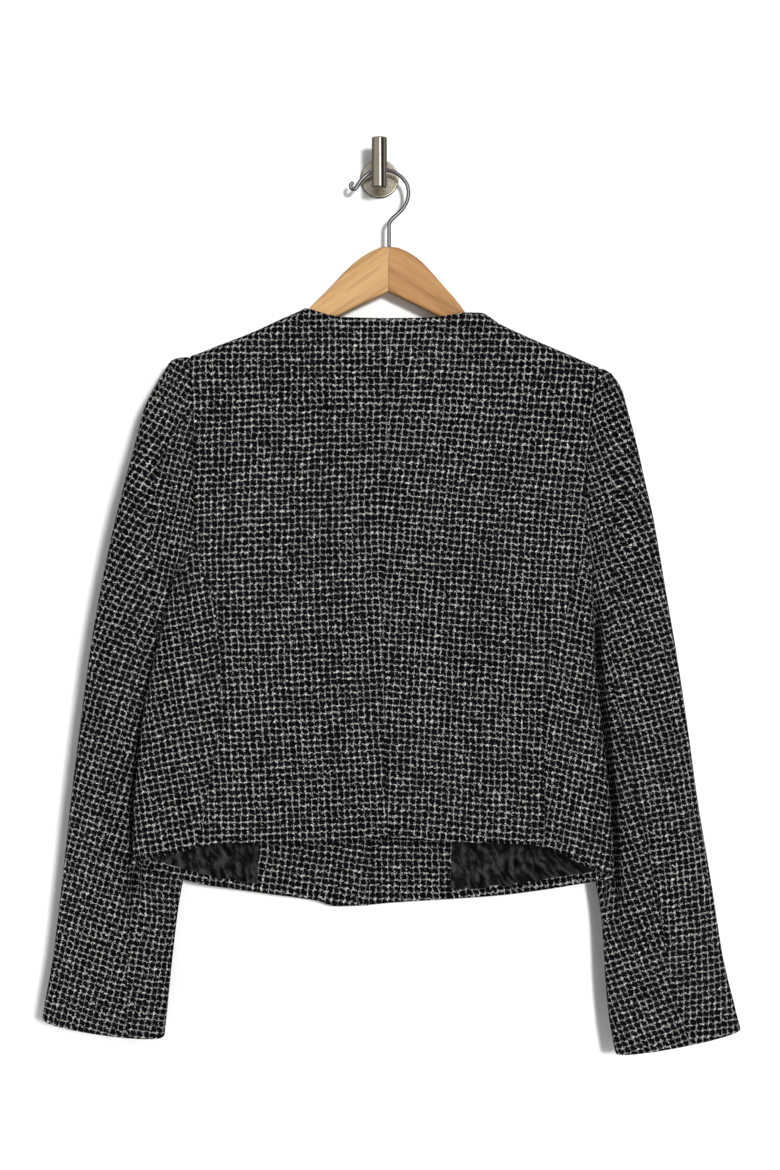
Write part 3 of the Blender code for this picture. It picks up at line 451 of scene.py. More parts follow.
def cubic(at, x, y):
    """A soft line through the points (x, y), read at `at`: a cubic that never overshoots. Its
    slope at a point is a weighted harmonic mean of the rises on both sides, or nought at a turn."""
    x, y = np.array(x, float), np.array(y, float)
    if x[0] > x[-1]:
        x, y = x[::-1], y[::-1]
    step = np.diff(x)
    rise = np.diff(y) / step
    turn = rise[:-1] * rise[1:] <= 0
    before, after = np.where(turn, 1, rise[:-1]), np.where(turn, 1, rise[1:])
    mean = 3 * (step[:-1] + step[1:]) / (
        (2 * step[1:] + step[:-1]) / before + (step[1:] + 2 * step[:-1]) / after
    )
    slope = np.concatenate([rise[:1], np.where(turn, 0, mean), rise[-1:]])
    at = np.clip(at, x[0], x[-1])
    i = np.clip(np.searchsorted(x, at) - 1, 0, len(step) - 1)
    t = (at - x[i]) / step[i]
    return (
        y[i] * (1 + 2 * t) * (1 - t) ** 2
        + slope[i] * step[i] * t * (1 - t) ** 2
        + y[i + 1] * t * t * (3 - 2 * t)
        + slope[i + 1] * step[i] * t * t * (t - 1)
    )


def smooth(at, rows, across, along=None):
    """Column `across` of a table, read at `at` in column `along`, or else in its first one."""
    along = along or rows[0]._fields[0]
    return cubic(at, [getattr(row, along) for row in rows], [getattr(row, across) for row in rows])


def across_body(x, z):
    """Place between the side folds at height z: -1 at the left fold, 1 at the right one."""
    left, right = smooth(z, FOLDS, "left"), smooth(z, FOLDS, "right")
    return (x - (left + right) / 2) / ((right - left) / 2)


def creases(x, z, rows):
    """Height of the soft folds at a point: bell-shaped across, faded at both ends."""
    height = 0.0
    for row in rows:
        along = (row.z_top - z) / (row.z_top - row.z_low)
        line = row.x_top + (row.x_low - row.x_top) * along
        ends = fade(along, *CREASE_STARTS) * (1 - fade(along, *CREASE_ENDS))
        height = height + row.height * ends * np.exp(-(((x - line) / row.width) ** 2))
    return height


def body_y(x, z, side):
    """y of the outside of the tube: its middle, plus a half depth that closes at the side folds."""
    place = np.clip(across_body(x, z), -1, 1)
    lens = np.sqrt(1 - place**2)
    rows, column = BACK_CREASES, "back"
    if side == FRONT:
        lens = lens**FRONT_LENS
        rows, column = FRONT_CREASES, "front"
    drop = np.clip(smooth(x, TOPS, "ridge") - z, 0, None)
    short = np.clip(RIDGE_ROUND - drop, 0, None)
    over = np.sqrt(RIDGE_ROUND**2 - short**2)
    low = fade(drop, *LENS_DROPS)
    depth = over * (1 - low + low * lens) + smooth(drop, DEPTHS, column) * lens
    ripple = RIPPLE * np.sin(x / 13 + z / 71 + side) * np.sin(z / 37 - x / 29)
    depth = depth + (creases(x, z, rows) + ripple) * lens * fade(drop, *CREASE_DROPS)
    mid = smooth(drop, DEPTHS, "mid") - smooth(drop, DEPTHS, "camber") * place**2
    return mid + side * depth


def front_y(hand):
    """The surface that a front lies on. The right one stands outside the left one at the lap."""
    def right_y(x, z):
        start, end = LAP_FADE
        edge = smooth(z, MIDDLES, "left_front")
        return body_y(x, z, FRONT) + LAP * (1 - fade(x, edge + start, edge + end))

    return right_y if hand == "right" else lambda x, z: body_y(x, z, FRONT)


def inside_front(x, z, hand, inward):
    """Points of a front, moved inward along its normal by a depth, for what lies on its inside."""
    y_of = front_y(hand)
    y = y_of(x, z)
    step = 0.5
    slope_x = (y_of(x + step, z) - y_of(x - step, z)) / (2 * step)
    slope_z = (y_of(x, z + step) - y_of(x, z - step)) / (2 * step)
    length = np.sqrt(1 + slope_x**2 + slope_z**2)
    normal = np.stack([-slope_x, np.ones_like(y), -slope_z], -1) / length[..., None]
    return np.stack([x, y, z], -1) - np.asarray(inward)[..., None] * normal


def over_the_ridge(start, length):
    """Drop below the shoulder line after walking `length` down the cloth from the drop `start`."""
    turned = np.arccos(np.clip(1 - start / RIDGE_ROUND, -1, 1))
    angle = turned + length / RIDGE_ROUND
    past = length - RIDGE_ROUND * (math.pi / 2 - turned)
    on_round = RIDGE_ROUND * (1 - np.cos(angle))
    straight = np.maximum(start, RIDGE_ROUND) + past
    straight = np.where(start > RIDGE_ROUND, start + length, straight)
    return np.where((angle < math.pi / 2) & (start < RIDGE_ROUND), on_round, straight)


def spread(length, pitch, fine_start=True, fine_end=True):
    """Fractions along an edge, about `pitch` apart and closer together at a fine end."""
    steps = np.array(EDGE_STEPS)
    start = steps if fine_start else steps[:1]
    end = steps if fine_end else steps[:1]
    count = max(2, round((length - start[-1] - end[-1]) / pitch))
    middle = np.linspace(start[-1], length - end[-1], count + 1)
    return np.concatenate([start[:-1], middle, (length - end[:-1])[::-1]]) / length


def panel_grid(width, length, pitch):
    """Places across, as a row, and down, as a column, with close points at all four edges."""
    return spread(width, pitch)[None, :], spread(length, pitch)[:, None]


def outward_normals(points, outward):
    """Unit normals of a grid: the cross product of its steps down and across, times the side."""
    normal = np.cross(np.gradient(points, axis=0), np.gradient(points, axis=1)) * outward
    return normal / np.linalg.norm(normal, axis=-1, keepdims=True)


def walked(points, axis):
    """Length walked along the rows (axis 1) or the columns (axis 0) of a grid."""
    step = np.linalg.norm(np.diff(points, axis=axis), axis=-1)
    return np.concatenate([np.zeros_like(np.take(step, [0], axis)), np.cumsum(step, axis)], axis)


def turn_in(points, outward, edges):
    """Turns the edges of a grid inwards in a quarter round. `edges` gives for top, bottom, start
    or end the width and depth: a point moves in by depth * (1 - sqrt(1 - near * near)), where
    near goes from 0 at that width to 1 at the edge."""
    down, across = walked(points, 0), walked(points, 1)
    distances = {"top": down, "bottom": down[-1:] - down,
                 "start": across, "end": across[:, -1:] - across}
    moved = np.zeros(points.shape[:2])
    for edge, (width, depth) in edges.items():
        near = np.clip(1 - distances[edge] / width, 0, 1)
        moved = np.maximum(moved, depth * (1 - np.sqrt(1 - near**2)))
    return points - outward_normals(points, outward) * moved[..., None]


def shoulder_length(points):
    """Height of each point with the cloth laid flat: z, plus the drop from the shoulder line, less
    the arc walked over the round of the hanger, which is radius * arccos(1 - drop / radius)."""
    drop = np.clip(smooth(points[..., 0], TOPS, "ridge") - points[..., 2], 0, RIDGE_ROUND)
    return points[..., 2] + drop - RIDGE_ROUND * np.arccos(1 - drop / RIDGE_ROUND)


def body_weave(points, hand, grain, to_middle):
    """Weave coordinates of a body panel in metres. They come from the length along its rows from
    the middle of the jacket and from its height: the wefts rise and the warps lean by the angles
    of its grain."""
    length = walked(points * np.array([1, 1, 0]), 1)
    if to_middle:
        across = points[:, -1:, 0] + OUT[hand] * (length[:, -1:] - length)
    else:
        across = points[:, :1, 0] + OUT[hand] * length
    across = across - smooth(points[..., 2], MIDDLES, "seam")
    up = shoulder_length(points)
    rise = np.radians(grain.rise * fade(points[..., 2], *grain.level))
    lean = np.radians(grain.lean)
    u = across * np.cos(lean) + (up - WEAVE_LEVEL) * np.sin(lean)
    v = up * np.cos(rise) - across * np.sin(rise)
    return np.stack([u, v], -1) * MM + np.array([grain.shift, 0]) * MM


def grid_corners(points, closed=False):
    """The corners of every cell of a grid, going round it. The columns of a closed grid run
    round the piece, so the last one meets the first."""
    index = np.arange(points[..., 0].size).reshape(points.shape[:2])
    if closed:
        index = np.hstack([index, index[:, :1]])
    cells = [index[:-1, :-1], index[:-1, 1:], index[1:, 1:], index[1:, :-1]]
    return np.stack(cells, -1).reshape(-1, 4)


def add_surface(name, points, corners, finishes):
    """Makes an object from points in mm and the corners of its faces."""
    mesh = bpy.data.meshes.new(name)
    mesh.from_pydata((points.reshape(-1, 3) * MM).tolist(), [], corners.tolist())
    mesh.shade_smooth()
    for finish in finishes:
        mesh.materials.append(finish)
    item = bpy.data.objects.new(name, mesh)
    bpy.context.scene.collection.objects.link(item)
    return item


def stand_for(item, node):
    """Binds a piece to the body, and hides the solid that it replaces."""
    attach(item, "root")
    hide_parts(node)


def wall_of_cloth(node, points, weave, flip, finishes, thickness=WALL, even=True):
    """An open grid of points in mm, thickened inwards. Its weave goes into the UV map `weave`,
    and its inner face takes the second of two finishes above the hem that is turned up."""
    corners = grid_corners(points)[:, (1, 2, 3, 0) if flip else (0, 3, 2, 1)]
    inside = len(finishes) - 1
    if inside:
        finishes = finishes + [finishes[0]] * 2
    item = add_surface(node + "_cloth", points, corners, finishes)
    layer = item.data.uv_layers.new(name="weave")
    layer.data.foreach_set("uv", weave.reshape(-1, 2)[corners].ravel())
    if inside:
        length = walked(points, 0)
        low = (length[-1:] - length)[1:, :-1] < TURNED_UP
        item.data.polygons.foreach_set("material_index", np.where(low, 2, 0).ravel())
    wall = item.modifiers.new("wall", "SOLIDIFY")
    wall.thickness = thickness * MM
    wall.offset = -1
    wall.use_even_offset = even
    wall.use_quality_normals = True
    wall.material_offset = inside
    stand_for(item, node)


def cut_panel(side_x, middle_x, top_z, hem_z, neck, pitch):
    """x and z of a panel from its side edge to its middle edge, and from its top to its hem. The
    first rows walk down from the shoulder line, and the others go on to the hem in even steps."""
    high, low = np.full((1, 1), NECK_HEIGHT), np.full((1, 1), HEM_LEVEL)
    side, middle = side_x(high)[0, 0], middle_x(high)[0, 0]
    width, at_neck = abs(middle - side), (neck - side) / (middle - side)
    shoulder = spread(width * at_neck, pitch, True, False) * at_neck
    inner = at_neck + spread(width * (1 - at_neck), pitch, False, True)[1:] * (1 - at_neck)
    across = np.concatenate([shoulder, inner])[None, :]
    lengths = SHOULDER_GAP + np.concatenate([EDGE_STEPS, np.arange(*RIDGE_STEPS)])[:, None]
    near_x = (1 - across) * side_x(high) + across * middle_x(high) + 0 * lengths
    for _ in range(3):  # the width and the height of a point depend on each other
        ridge = smooth(near_x, TOPS, "ridge")
        near = ridge - over_the_ridge(np.clip(ridge - top_z(near_x), 0, None), lengths)
        near_x = (1 - across) * side_x(near) + across * middle_x(near)
    hem = hem_z((1 - across) * side_x(low) + across * middle_x(low))
    down = spread(PANEL_LENGTH, pitch, False, True)[1:, None]
    z = np.vstack([near, near[-1:] * (1 - down) + hem * down])
    return (1 - across) * side_x(z) + across * middle_x(z), z


def side_edge(z, hand, column):
    """Side edge of a back or a front: its armhole, then its seam, drawn in by the gap."""
    gap = SEAM + (ARM_GAP - SEAM) * fade(z, UNDERARM_TOP - ARM_GAP_FADE, UNDERARM_TOP)
    seam = smooth(z, SIDES, column)
    return np.where(z > UNDERARM_TOP, smooth(z, ARMHOLES, hand), seam) - OUT[hand] * gap


def main_panel(kind, hand, pitch, middle_x, top_z, y_of, end):
    """Points of a back or a front, from the side to its middle edge, given by the functions
    middle_x(z), top_z(x) and y_of(x, z)."""
    x, z = cut_panel(lambda z: side_edge(z, hand, kind + "_" + hand), middle_x, top_z,
                     lambda x: smooth(x, HEMS, kind), NECK_POINTS[hand], pitch)
    outward = OUT[hand] * (BACK if kind == "back" else FRONT)
    edges = {"top": PRESSED, "bottom": FOLDED, "start": SET_SEAM, "end": end}
    return turn_in(np.stack([x, y_of(x, z), z], -1), outward, edges)


def back(hand, pitch):
    """Points of a back panel, from the side to the centre-back seam."""
    return main_panel("back", hand, pitch, lambda z: smooth(z, MIDDLES, "seam") + OUT[hand] * SEAM,
                      lambda x: smooth(x, TOPS, "edge"), lambda x, z: body_y(x, z, BACK), PRESSED)


def front_edge(z, hand):
    """x of the front edge of a front."""
    return smooth(z, MIDDLES, hand + "_front")


def neckline(x, hand):
    """Top edge of a front: the shoulder, then a round neckline down to the front edge. It drops
    by the depth of the neckline times 1 - (1 - along) ** 2.4, that to the power of 1.1."""
    point = NECK_POINTS[hand]
    neck = point - OUT[hand] * NECK_LEVEL
    end = front_edge(np.array(NECK_ENDS), hand)
    along = np.clip((x - neck) / (end - neck), 0, 1)
    top = smooth(np.array(point), TOPS, "edge")
    passed = (x - point) * (end - neck) > 0
    curve = top - 1.0 - NECK_DROP * (1 - (1 - along) ** 2.4) ** 1.1
    return np.where(passed, curve, smooth(x, TOPS, "edge"))


def front(hand, pitch):
    """Points of a front, from the side to the front edge."""
    return main_panel("front", hand, pitch, lambda z: front_edge(z, hand),
                      lambda x: neckline(x, hand), front_y(hand), FOLDED)


def side_panel(hand, pitch):
    """Points of a side panel: from the side-back seam round the fold to the side-front seam. Its
    place across the tube is the cosine of an angle that turns evenly from seam to seam."""
    out = OUT[hand]
    across, down = panel_grid(SIDE_WIDTH, UNDERARM - HEM_LEVEL, pitch)
    turning = 1 - 2 * across
    from_fold = np.abs(turning)
    on_back = turning > 0

    def both(read):
        """The half of the panel on the back reads one value, and the half on the front another."""
        return np.where(on_back, read("back"), read("front"))

    def hem(name):
        """Height of the hem below each column, read on the back or on the front."""
        low = np.full((1, 1), HEM_LEVEL)
        seam, fold = smooth(low, SIDES, name + "_" + hand), smooth(low, FOLDS, hand)
        return smooth(fold + (seam - fold) * from_fold**2, HEMS, name)

    top = UNDERARM + (UNDERARM_TOP - UNDERARM) * from_fold
    z = top * (1 - down) + both(hem) * down
    seam = both(lambda name: smooth(z, SIDES, name + "_" + hand))
    widest = np.arccos(np.clip(out * across_body(seam + out * SEAM, z), -1, 1))
    armhole = smooth(top, ARMHOLES, hand)
    top_turn = np.arccos(np.clip(out * across_body(armhole, top), -1, 1)) / widest[:1]
    turn = widest * (top_turn * (1 - down) ** 2 + from_fold * (1 - (1 - down) ** 2))
    z = z - UNDERARM_GAP * (1 - down)
    left, right = smooth(z, FOLDS, "left"), smooth(z, FOLDS, "right")
    x = (left + right) / 2 + out * (right - left) / 2 * np.cos(turn)
    y = np.where(on_back, body_y(x, z, BACK), body_y(x, z, FRONT))
    return turn_in(np.stack([x, y, z], -1), out, PANEL_EDGES)


def facing_width(z):
    """Width of a front facing at a height."""
    return FACING_AT_NECK + (FACING_AT_HEM - FACING_AT_NECK) * fade(z, *FACING_WIDENS)


def facing(hand, pitch):
    """Points of a front facing, on the inside of its front."""
    across, down = panel_grid(FACING_AT_HEM, PANEL_LENGTH, pitch)
    top_x = front_edge(np.array(FACING_TOP), hand)
    top = neckline(top_x + OUT[hand] * (FACING_IN + across * FACING_AT_NECK), hand) - FACING_IN
    hem_x = front_edge(np.array(FACING_HEM), hand)
    hem = smooth(hem_x + OUT[hand] * (FACING_IN + across * FACING_AT_HEM), HEMS, "front") + HEM_IN
    z = top * (1 - down) + hem * down
    x = front_edge(z, hand) + OUT[hand] * (FACING_IN + across * facing_width(z))
    points = inside_front(x, z, hand, WALL + LOOSE + creases(x, z, FACING_WAVES))
    return turn_in(points, OUT[hand], FACING_EDGES)


def lining_x(z, hand, across):
    """x of the lining from the facing's edge towards the side fold."""
    start = front_edge(z, hand) + OUT[hand] * (FACING_IN + facing_width(z) + AIR)
    end = smooth(z, FOLDS, hand) - OUT[hand] * LINING_CLEAR
    return start + (end - start) * across


def hem_at_lining(hand, across):
    """Height of the front's hem below each column of the lining."""
    return smooth(lining_x(np.full((1, 1), LINING_LOW), hand, across), HEMS, "front")


def lining(hand, pitch):
    """Points of the lining of a front, from under the arm to just above the hem, with puckers
    that stand off the front towards the room."""
    across, down = panel_grid(LINING_WIDTH, LINING_LENGTH, pitch)
    low = hem_at_lining(hand, across) + HEM_TURNED
    z = LINING_TOP * (1 - down) + low * down
    x = lining_x(z, hand, across)
    points = inside_front(x, z, hand, WALL + LOOSE + puckers(x, z))
    return turn_in(points, OUT[hand], LINING_EDGES)


def puckers(x, z):
    """How far the lining stands off: its listed folds, and a small ripple of two sines."""
    raised = np.clip(creases(x, z, LINING_FOLDS), PUCKER_FLOOR, None)
    return raised + PUCKER_RIPPLE * np.sin(x / 2.7 + z / 9.0) * np.sin(z / 7.3 - x / 15.0)


def turned_hem(hand, pitch):
    """Points of the hem that is turned up inside a front, under the lining."""
    across, down = panel_grid(TURNED_LENGTH, HEM_TURNED, pitch)
    low = hem_at_lining(hand, across)
    z = (low + HEM_TURNED + HEM_UNDER) * (1 - down) + (low + HEM_IN) * down
    points = inside_front(lining_x(z, hand, across), z, hand, WALL + LOOSE)
    return turn_in(points, OUT[hand], TURNED_EDGES)


def ring_places(hand, pitch):
    """Ring numbers of a sleeve's rows, spaced evenly along the middle of the sleeve."""
    rows = RINGS[hand]
    middles = np.array([[(r.outer_x + r.inner_x) / 2, (r.outer_z + r.inner_z) / 2] for r in rows])
    length = np.concatenate([[0], np.cumsum(np.linalg.norm(np.diff(middles, axis=0), axis=1))])
    return np.interp(spread(length[-1], pitch) * length[-1], length, np.arange(len(rows)))


def sleeve_tube(ring, degrees, hand):
    """x, y and z of the plain tube: an ellipse from outer to inner edge, tilted in depth."""
    def read(rows):
        """Every column of a table by ring."""
        return [cubic(ring, np.arange(len(rows)), column) for column in zip(*rows)]

    cos, sin = np.cos(np.radians(degrees)), np.sin(np.radians(degrees))
    outer_x, outer_z, inner_x, inner_z = read(RINGS[hand])
    depth, mid, tilt = read(RING_DEPTHS)
    x = (outer_x + inner_x) / 2 + (outer_x - inner_x) / 2 * cos
    z = (outer_z + inner_z) / 2 + (outer_z - inner_z) / 2 * cos
    return x, mid - tilt * cos - depth * sin, z


def sleeve(ring, degrees, hand):
    """Points of a sleeve: its tube, which near the armhole takes the armhole's own line, stays
    clear behind a front that covers it, falls back beside the body and has soft dents."""
    x, y, z = sleeve_tube(ring, degrees, hand)
    first_x, first_y, first_z = sleeve_tube(np.zeros_like(ring), degrees, hand)
    sin = np.sin(np.radians(degrees))
    set_x = smooth(first_z, ARMHOLES, hand)
    set_y = np.where(sin >= 0, body_y(set_x, first_z, BACK), body_y(set_x, first_z, FRONT))
    near = 1 - fade(ring, 0, SET_IN)
    x = x + (set_x - first_x) * near
    y = y + (set_y - first_y) * near
    short = body_y(x, z, FRONT) + SLEEVE_CLEAR - y
    pushed = (short + np.sqrt(short**2 + SLEEVE_SOFT**2)) / 2
    covered = fade(np.abs(across_body(x, z)), *COVERED)
    covered = covered * fade(z, *[UNDERARM + height for height in COVERED_BELOW])
    y = y + pushed * covered * (1 - near)
    y = y + valley(x, z, hand) * np.sqrt(np.clip(sin, 0, 1))
    z = z - CUFF_DIP[hand] * np.clip(sin, 0, 1) * fade(ring, *CUFF_RINGS)
    bump = 0.0
    for dent in DENTS[hand]:
        off = ring - dent.ring
        away = (degrees - dent.angle - dent.slant * off + 180) % 360 - 180
        bump = bump + dent.height * np.exp(-((off / dent.along) ** 2) - (away / dent.across) ** 2)
    return np.stack([x, y - bump * np.sign(sin) * np.abs(sin) ** 0.5, z], -1)


def valley(x, z, hand):
    """How far a sleeve falls back beside the body: half bells from the side fold outwards."""
    beyond = np.abs(x) - np.abs(smooth(z, FOLDS, hand))
    fall = 0.0
    for row in VALLEYS[hand]:
        bell = np.exp(-((beyond / row.width) ** row.steep))
        fall = fall + row.depth * fade(z, row.start, row.full) * bell
    return fall * fade(z, *VALLEY_END)


def sleeve_piece(hand, piece, pitch):
    """Points of the upper or under sleeve, between the elbow seam and the inner seam, and the
    number of the column that its weave is measured from."""
    ring = ring_places(hand, pitch)[:, None]
    elbow, inner, gap = (smooth(ring, SEAMS[hand], name) for name in ("elbow", "inner", "gap"))
    gap = gap * SLEEVE_GAP
    across = spread(SLEEVE_WIDTHS[piece], pitch)[None, :]
    if piece == "upper":
        start, end = inner - 360 + gap, elbow - gap
    else:
        start, end = elbow + gap, inner - gap
    degrees = start + (end - start) * across
    anchor = int(np.argmin(np.abs(degrees[len(ring) // 2]))) if piece == "upper" else 0
    points = sleeve(ring + 0 * across, degrees, hand)
    return turn_in(points, -OUT[hand], PANEL_EDGES), anchor


def sleeve_weave(points, hand, anchor, turns):
    """Weave of a sleeve piece: it is turned by an angle that changes down the sleeve. Up is the
    place along the turned warp, and across the length walked round the sleeve from the anchor
    column, which counts by its place along the turned weft."""
    side = -OUT[hand]
    turn = side * np.radians(smooth(points[..., 2], turns, "turn"))
    weft = np.stack([np.cos(turn), 0 * turn, -np.sin(turn)], -1)
    place = points - np.array(SLEEVE_MIDDLE[hand])
    step = np.diff(points, axis=1)
    along = np.hypot((step * weft[:, :-1]).sum(-1), step[..., 1])
    length = np.concatenate([np.zeros((len(turn), 1)), np.cumsum(along, 1)], 1)
    across = side * (length - length[:, anchor:anchor + 1])
    start = (place * weft).sum(-1)[:, anchor:anchor + 1]
    up = place[..., 0] * np.sin(turn) + place[..., 2] * np.cos(turn)
    return np.stack([across + start, up], -1) * MM


def closed_surface(node, kind, points, finish):
    """A closed piece from a grid of points in mm whose columns run round it. A row of equal
    points is a pole, and an end that is still open gets a flat cap."""
    item = add_surface(node + "_" + kind, points, grid_corners(points, True), [finish])
    shape = bmesh.new()
    shape.from_mesh(item.data)
    bmesh.ops.remove_doubles(shape, verts=shape.verts, dist=1e-6)
    rim = [edge for edge in shape.edges if edge.is_boundary]
    bmesh.ops.holes_fill(shape, edges=rim, sides=points.shape[1])
    bmesh.ops.recalc_face_normals(shape, faces=shape.faces)
    shape.to_mesh(item.data)
    shape.free()
    item.data.shade_smooth()
    stand_for(item, node)


def circle(count):
    """Angles round a circle, as a row."""
    return np.linspace(0, 2 * math.pi, count, endpoint=False)[None, :]


def rounded_box_ring(half_wide, half_high, corner, count=6):
    """Points of a rectangle with round corners, as places across and up: four quarter circles,
    one after another. The sizes may be columns, for one ring in each row."""
    turn = np.linspace(0, math.pi / 2, count)
    across, up = [], []
    for quarter in range(4):
        angle = turn + quarter * math.pi / 2
        sign_x = 1 if quarter in (0, 3) else -1
        sign_z = 1 if quarter in (0, 1) else -1
        across.append(sign_x * (half_wide - corner) + corner * np.cos(angle))
        up.append(sign_z * (half_high - corner) + corner * np.sin(angle))
    return np.concatenate(across, -1), np.concatenate(up, -1)


def hanger_arm(hand):
    """Points of half a hanger: round-cornered upright sections along the arm, from its top to its
    underside. The sections shrink in a quarter round at the tip, and hardly at the joint."""
    reach = getattr(ARMS[-1], hand)
    round_tip = reach - HANGER_TIP * (1 - np.sin(np.linspace(0.15, math.pi / 2, 8)))
    joint_wide, joint_deep = HANGER_JOINT
    near_joint = [0.1, 0.25, 0.6, joint_wide]
    along_arm = np.linspace(2.2, reach - HANGER_TIP, 90)
    place = np.concatenate([near_joint, along_arm, round_tip])[:, None]
    top = smooth(place, ARMS, "top_" + hand, hand)
    under = smooth(place, ARMS, "under", hand)
    tip = np.sqrt(1 - np.clip((place - reach + HANGER_TIP) / HANGER_TIP, 0, 0.995) ** 2)
    joint = joint_deep * (1 - np.clip(place / joint_wide, 0, 1)) ** 2
    half_high = ((top - under) / 2 - joint) * tip
    half_wide = (HANGER_DEPTH / 2 - joint) * tip
    corner = np.minimum(np.minimum(HANGER_EDGE, half_high * 0.9), half_wide * 0.9)
    across, up = rounded_box_ring(half_wide, half_high, corner)
    x = HANGER_X + OUT[hand] * place + 0 * across
    return np.stack([x, RIDGE_Y + across, (top + under) / 2 + up], -1)


def hook_wire():
    """Points of the hanger's wire hook, from a pole in the wood to its curled tip: circles round
    a route in an upright plane. At the tip the radius falls in a quarter circle, as
    sqrt(1 - (1 - distance / radius) squared) of the whole."""
    last = len(HOOK_ROUTE) - 1
    near_tip = last - 0.2 * np.linspace(0.92, 0, 12) ** 2
    steps = np.concatenate([np.linspace(0, last - 0.2, 300), near_tip])
    numbers = np.arange(last + 1)
    line = np.stack([cubic(steps, numbers, column) for column in zip(*HOOK_ROUTE)], -1)
    wire = HOOK_WIRE / 2
    from_tip = np.linalg.norm(line - line[-1], axis=1)
    radii = wire * np.sqrt(1 - np.clip(1 - from_tip / wire, 0, 1) ** 2)
    radii[0] = 0.0
    along = np.gradient(line, axis=0)
    along /= np.linalg.norm(along, axis=1, keepdims=True)
    angle = circle(24)
    reach, depth = radii[:, None] * np.cos(angle), radii[:, None] * np.sin(angle)
    x = line[:, :1] - reach * along[:, 1:]
    z = line[:, 1:] + reach * along[:, :1]
    return np.stack([x, RIDGE_Y + depth, z], -1)


def turned(profile, centre, upright):
    """A turned piece: a profile of (radius, place along) carried round an axis along Z where it
    is upright, and along Y where it isn't."""
    radius, along = np.array(profile, float).T
    angle = circle(72)
    across, other = radius[:, None] * np.cos(angle), radius[:, None] * np.sin(angle)
    along = along[:, None] + 0 * angle
    parts = [across, other, along] if upright else [across, along, other]
    return np.stack(parts, -1) + np.array(centre, float)


def rounded_profile(radius, low, high, low_round, high_round):
    """Profile of a disc or rod from its lower pole to its upper one, with quarter rounds."""
    angles = [float(angle) for angle in np.linspace(0, math.pi / 2, 7)]
    shares = (0.0, 0.3, 0.7, 0.95)
    low_flat, high_flat = radius - low_round, radius - high_round
    low_edge, high_edge = low + low_round, high - high_round
    return (
        [(share * low_flat, low) for share in shares]
        + [(low_flat + low_round * math.sin(a), low_edge - low_round * math.cos(a)) for a in angles]
        + [(high_flat + high_round * math.cos(a), high_edge + high_round * math.sin(a))
           for a in angles]
        + [(share * high_flat, high) for share in shares[::-1]]
    )


def button_points(centre):
    """Points of a button that faces the wall: a rim, a dish and four sewing holes. The height at
    a place is the dish's, less a deep bell round each hole."""
    dish_edge, dish_depth, rim_start = (7.4, 5.8), 0.85, 7.8
    hole_edge, hole_depth = (1.05, 0.75), 1.3
    radius = np.concatenate([np.linspace(0, 5.4, 24), np.linspace(5.6, BUTTON_RADIUS, 14)])[:, None]
    angle = circle(96)
    half = BUTTON_DEPTH / 2
    dish = half - dish_depth * fade(radius, *dish_edge)
    past_rim = np.clip(radius - rim_start, 0, None) / (BUTTON_RADIUS - rim_start)
    height = dish * np.sqrt(np.clip(1 - past_rim**2, 0, 1)) + 0 * angle
    x, z = radius * np.cos(angle), radius * np.sin(angle)
    for across, up in ((1, 1), (-1, 1), (1, -1), (-1, -1)):
        away = np.hypot(x - across * BUTTON_HOLE, z - up * BUTTON_HOLE)
        height = height - hole_depth * fade(away, *hole_edge)
    outer = np.stack([x, height, z], -1)
    back_radius = np.array([BUTTON_RADIUS * 0.96, BUTTON_RADIUS * 0.8, 4.0, 0.0])[:, None]
    back_depth = np.array([-0.5, -half, -half, -half])[:, None] + 0 * angle
    inner = np.stack([back_radius * np.cos(angle), back_depth, back_radius * np.sin(angle)], -1)
    return np.concatenate([outer, inner]) + np.array(centre)


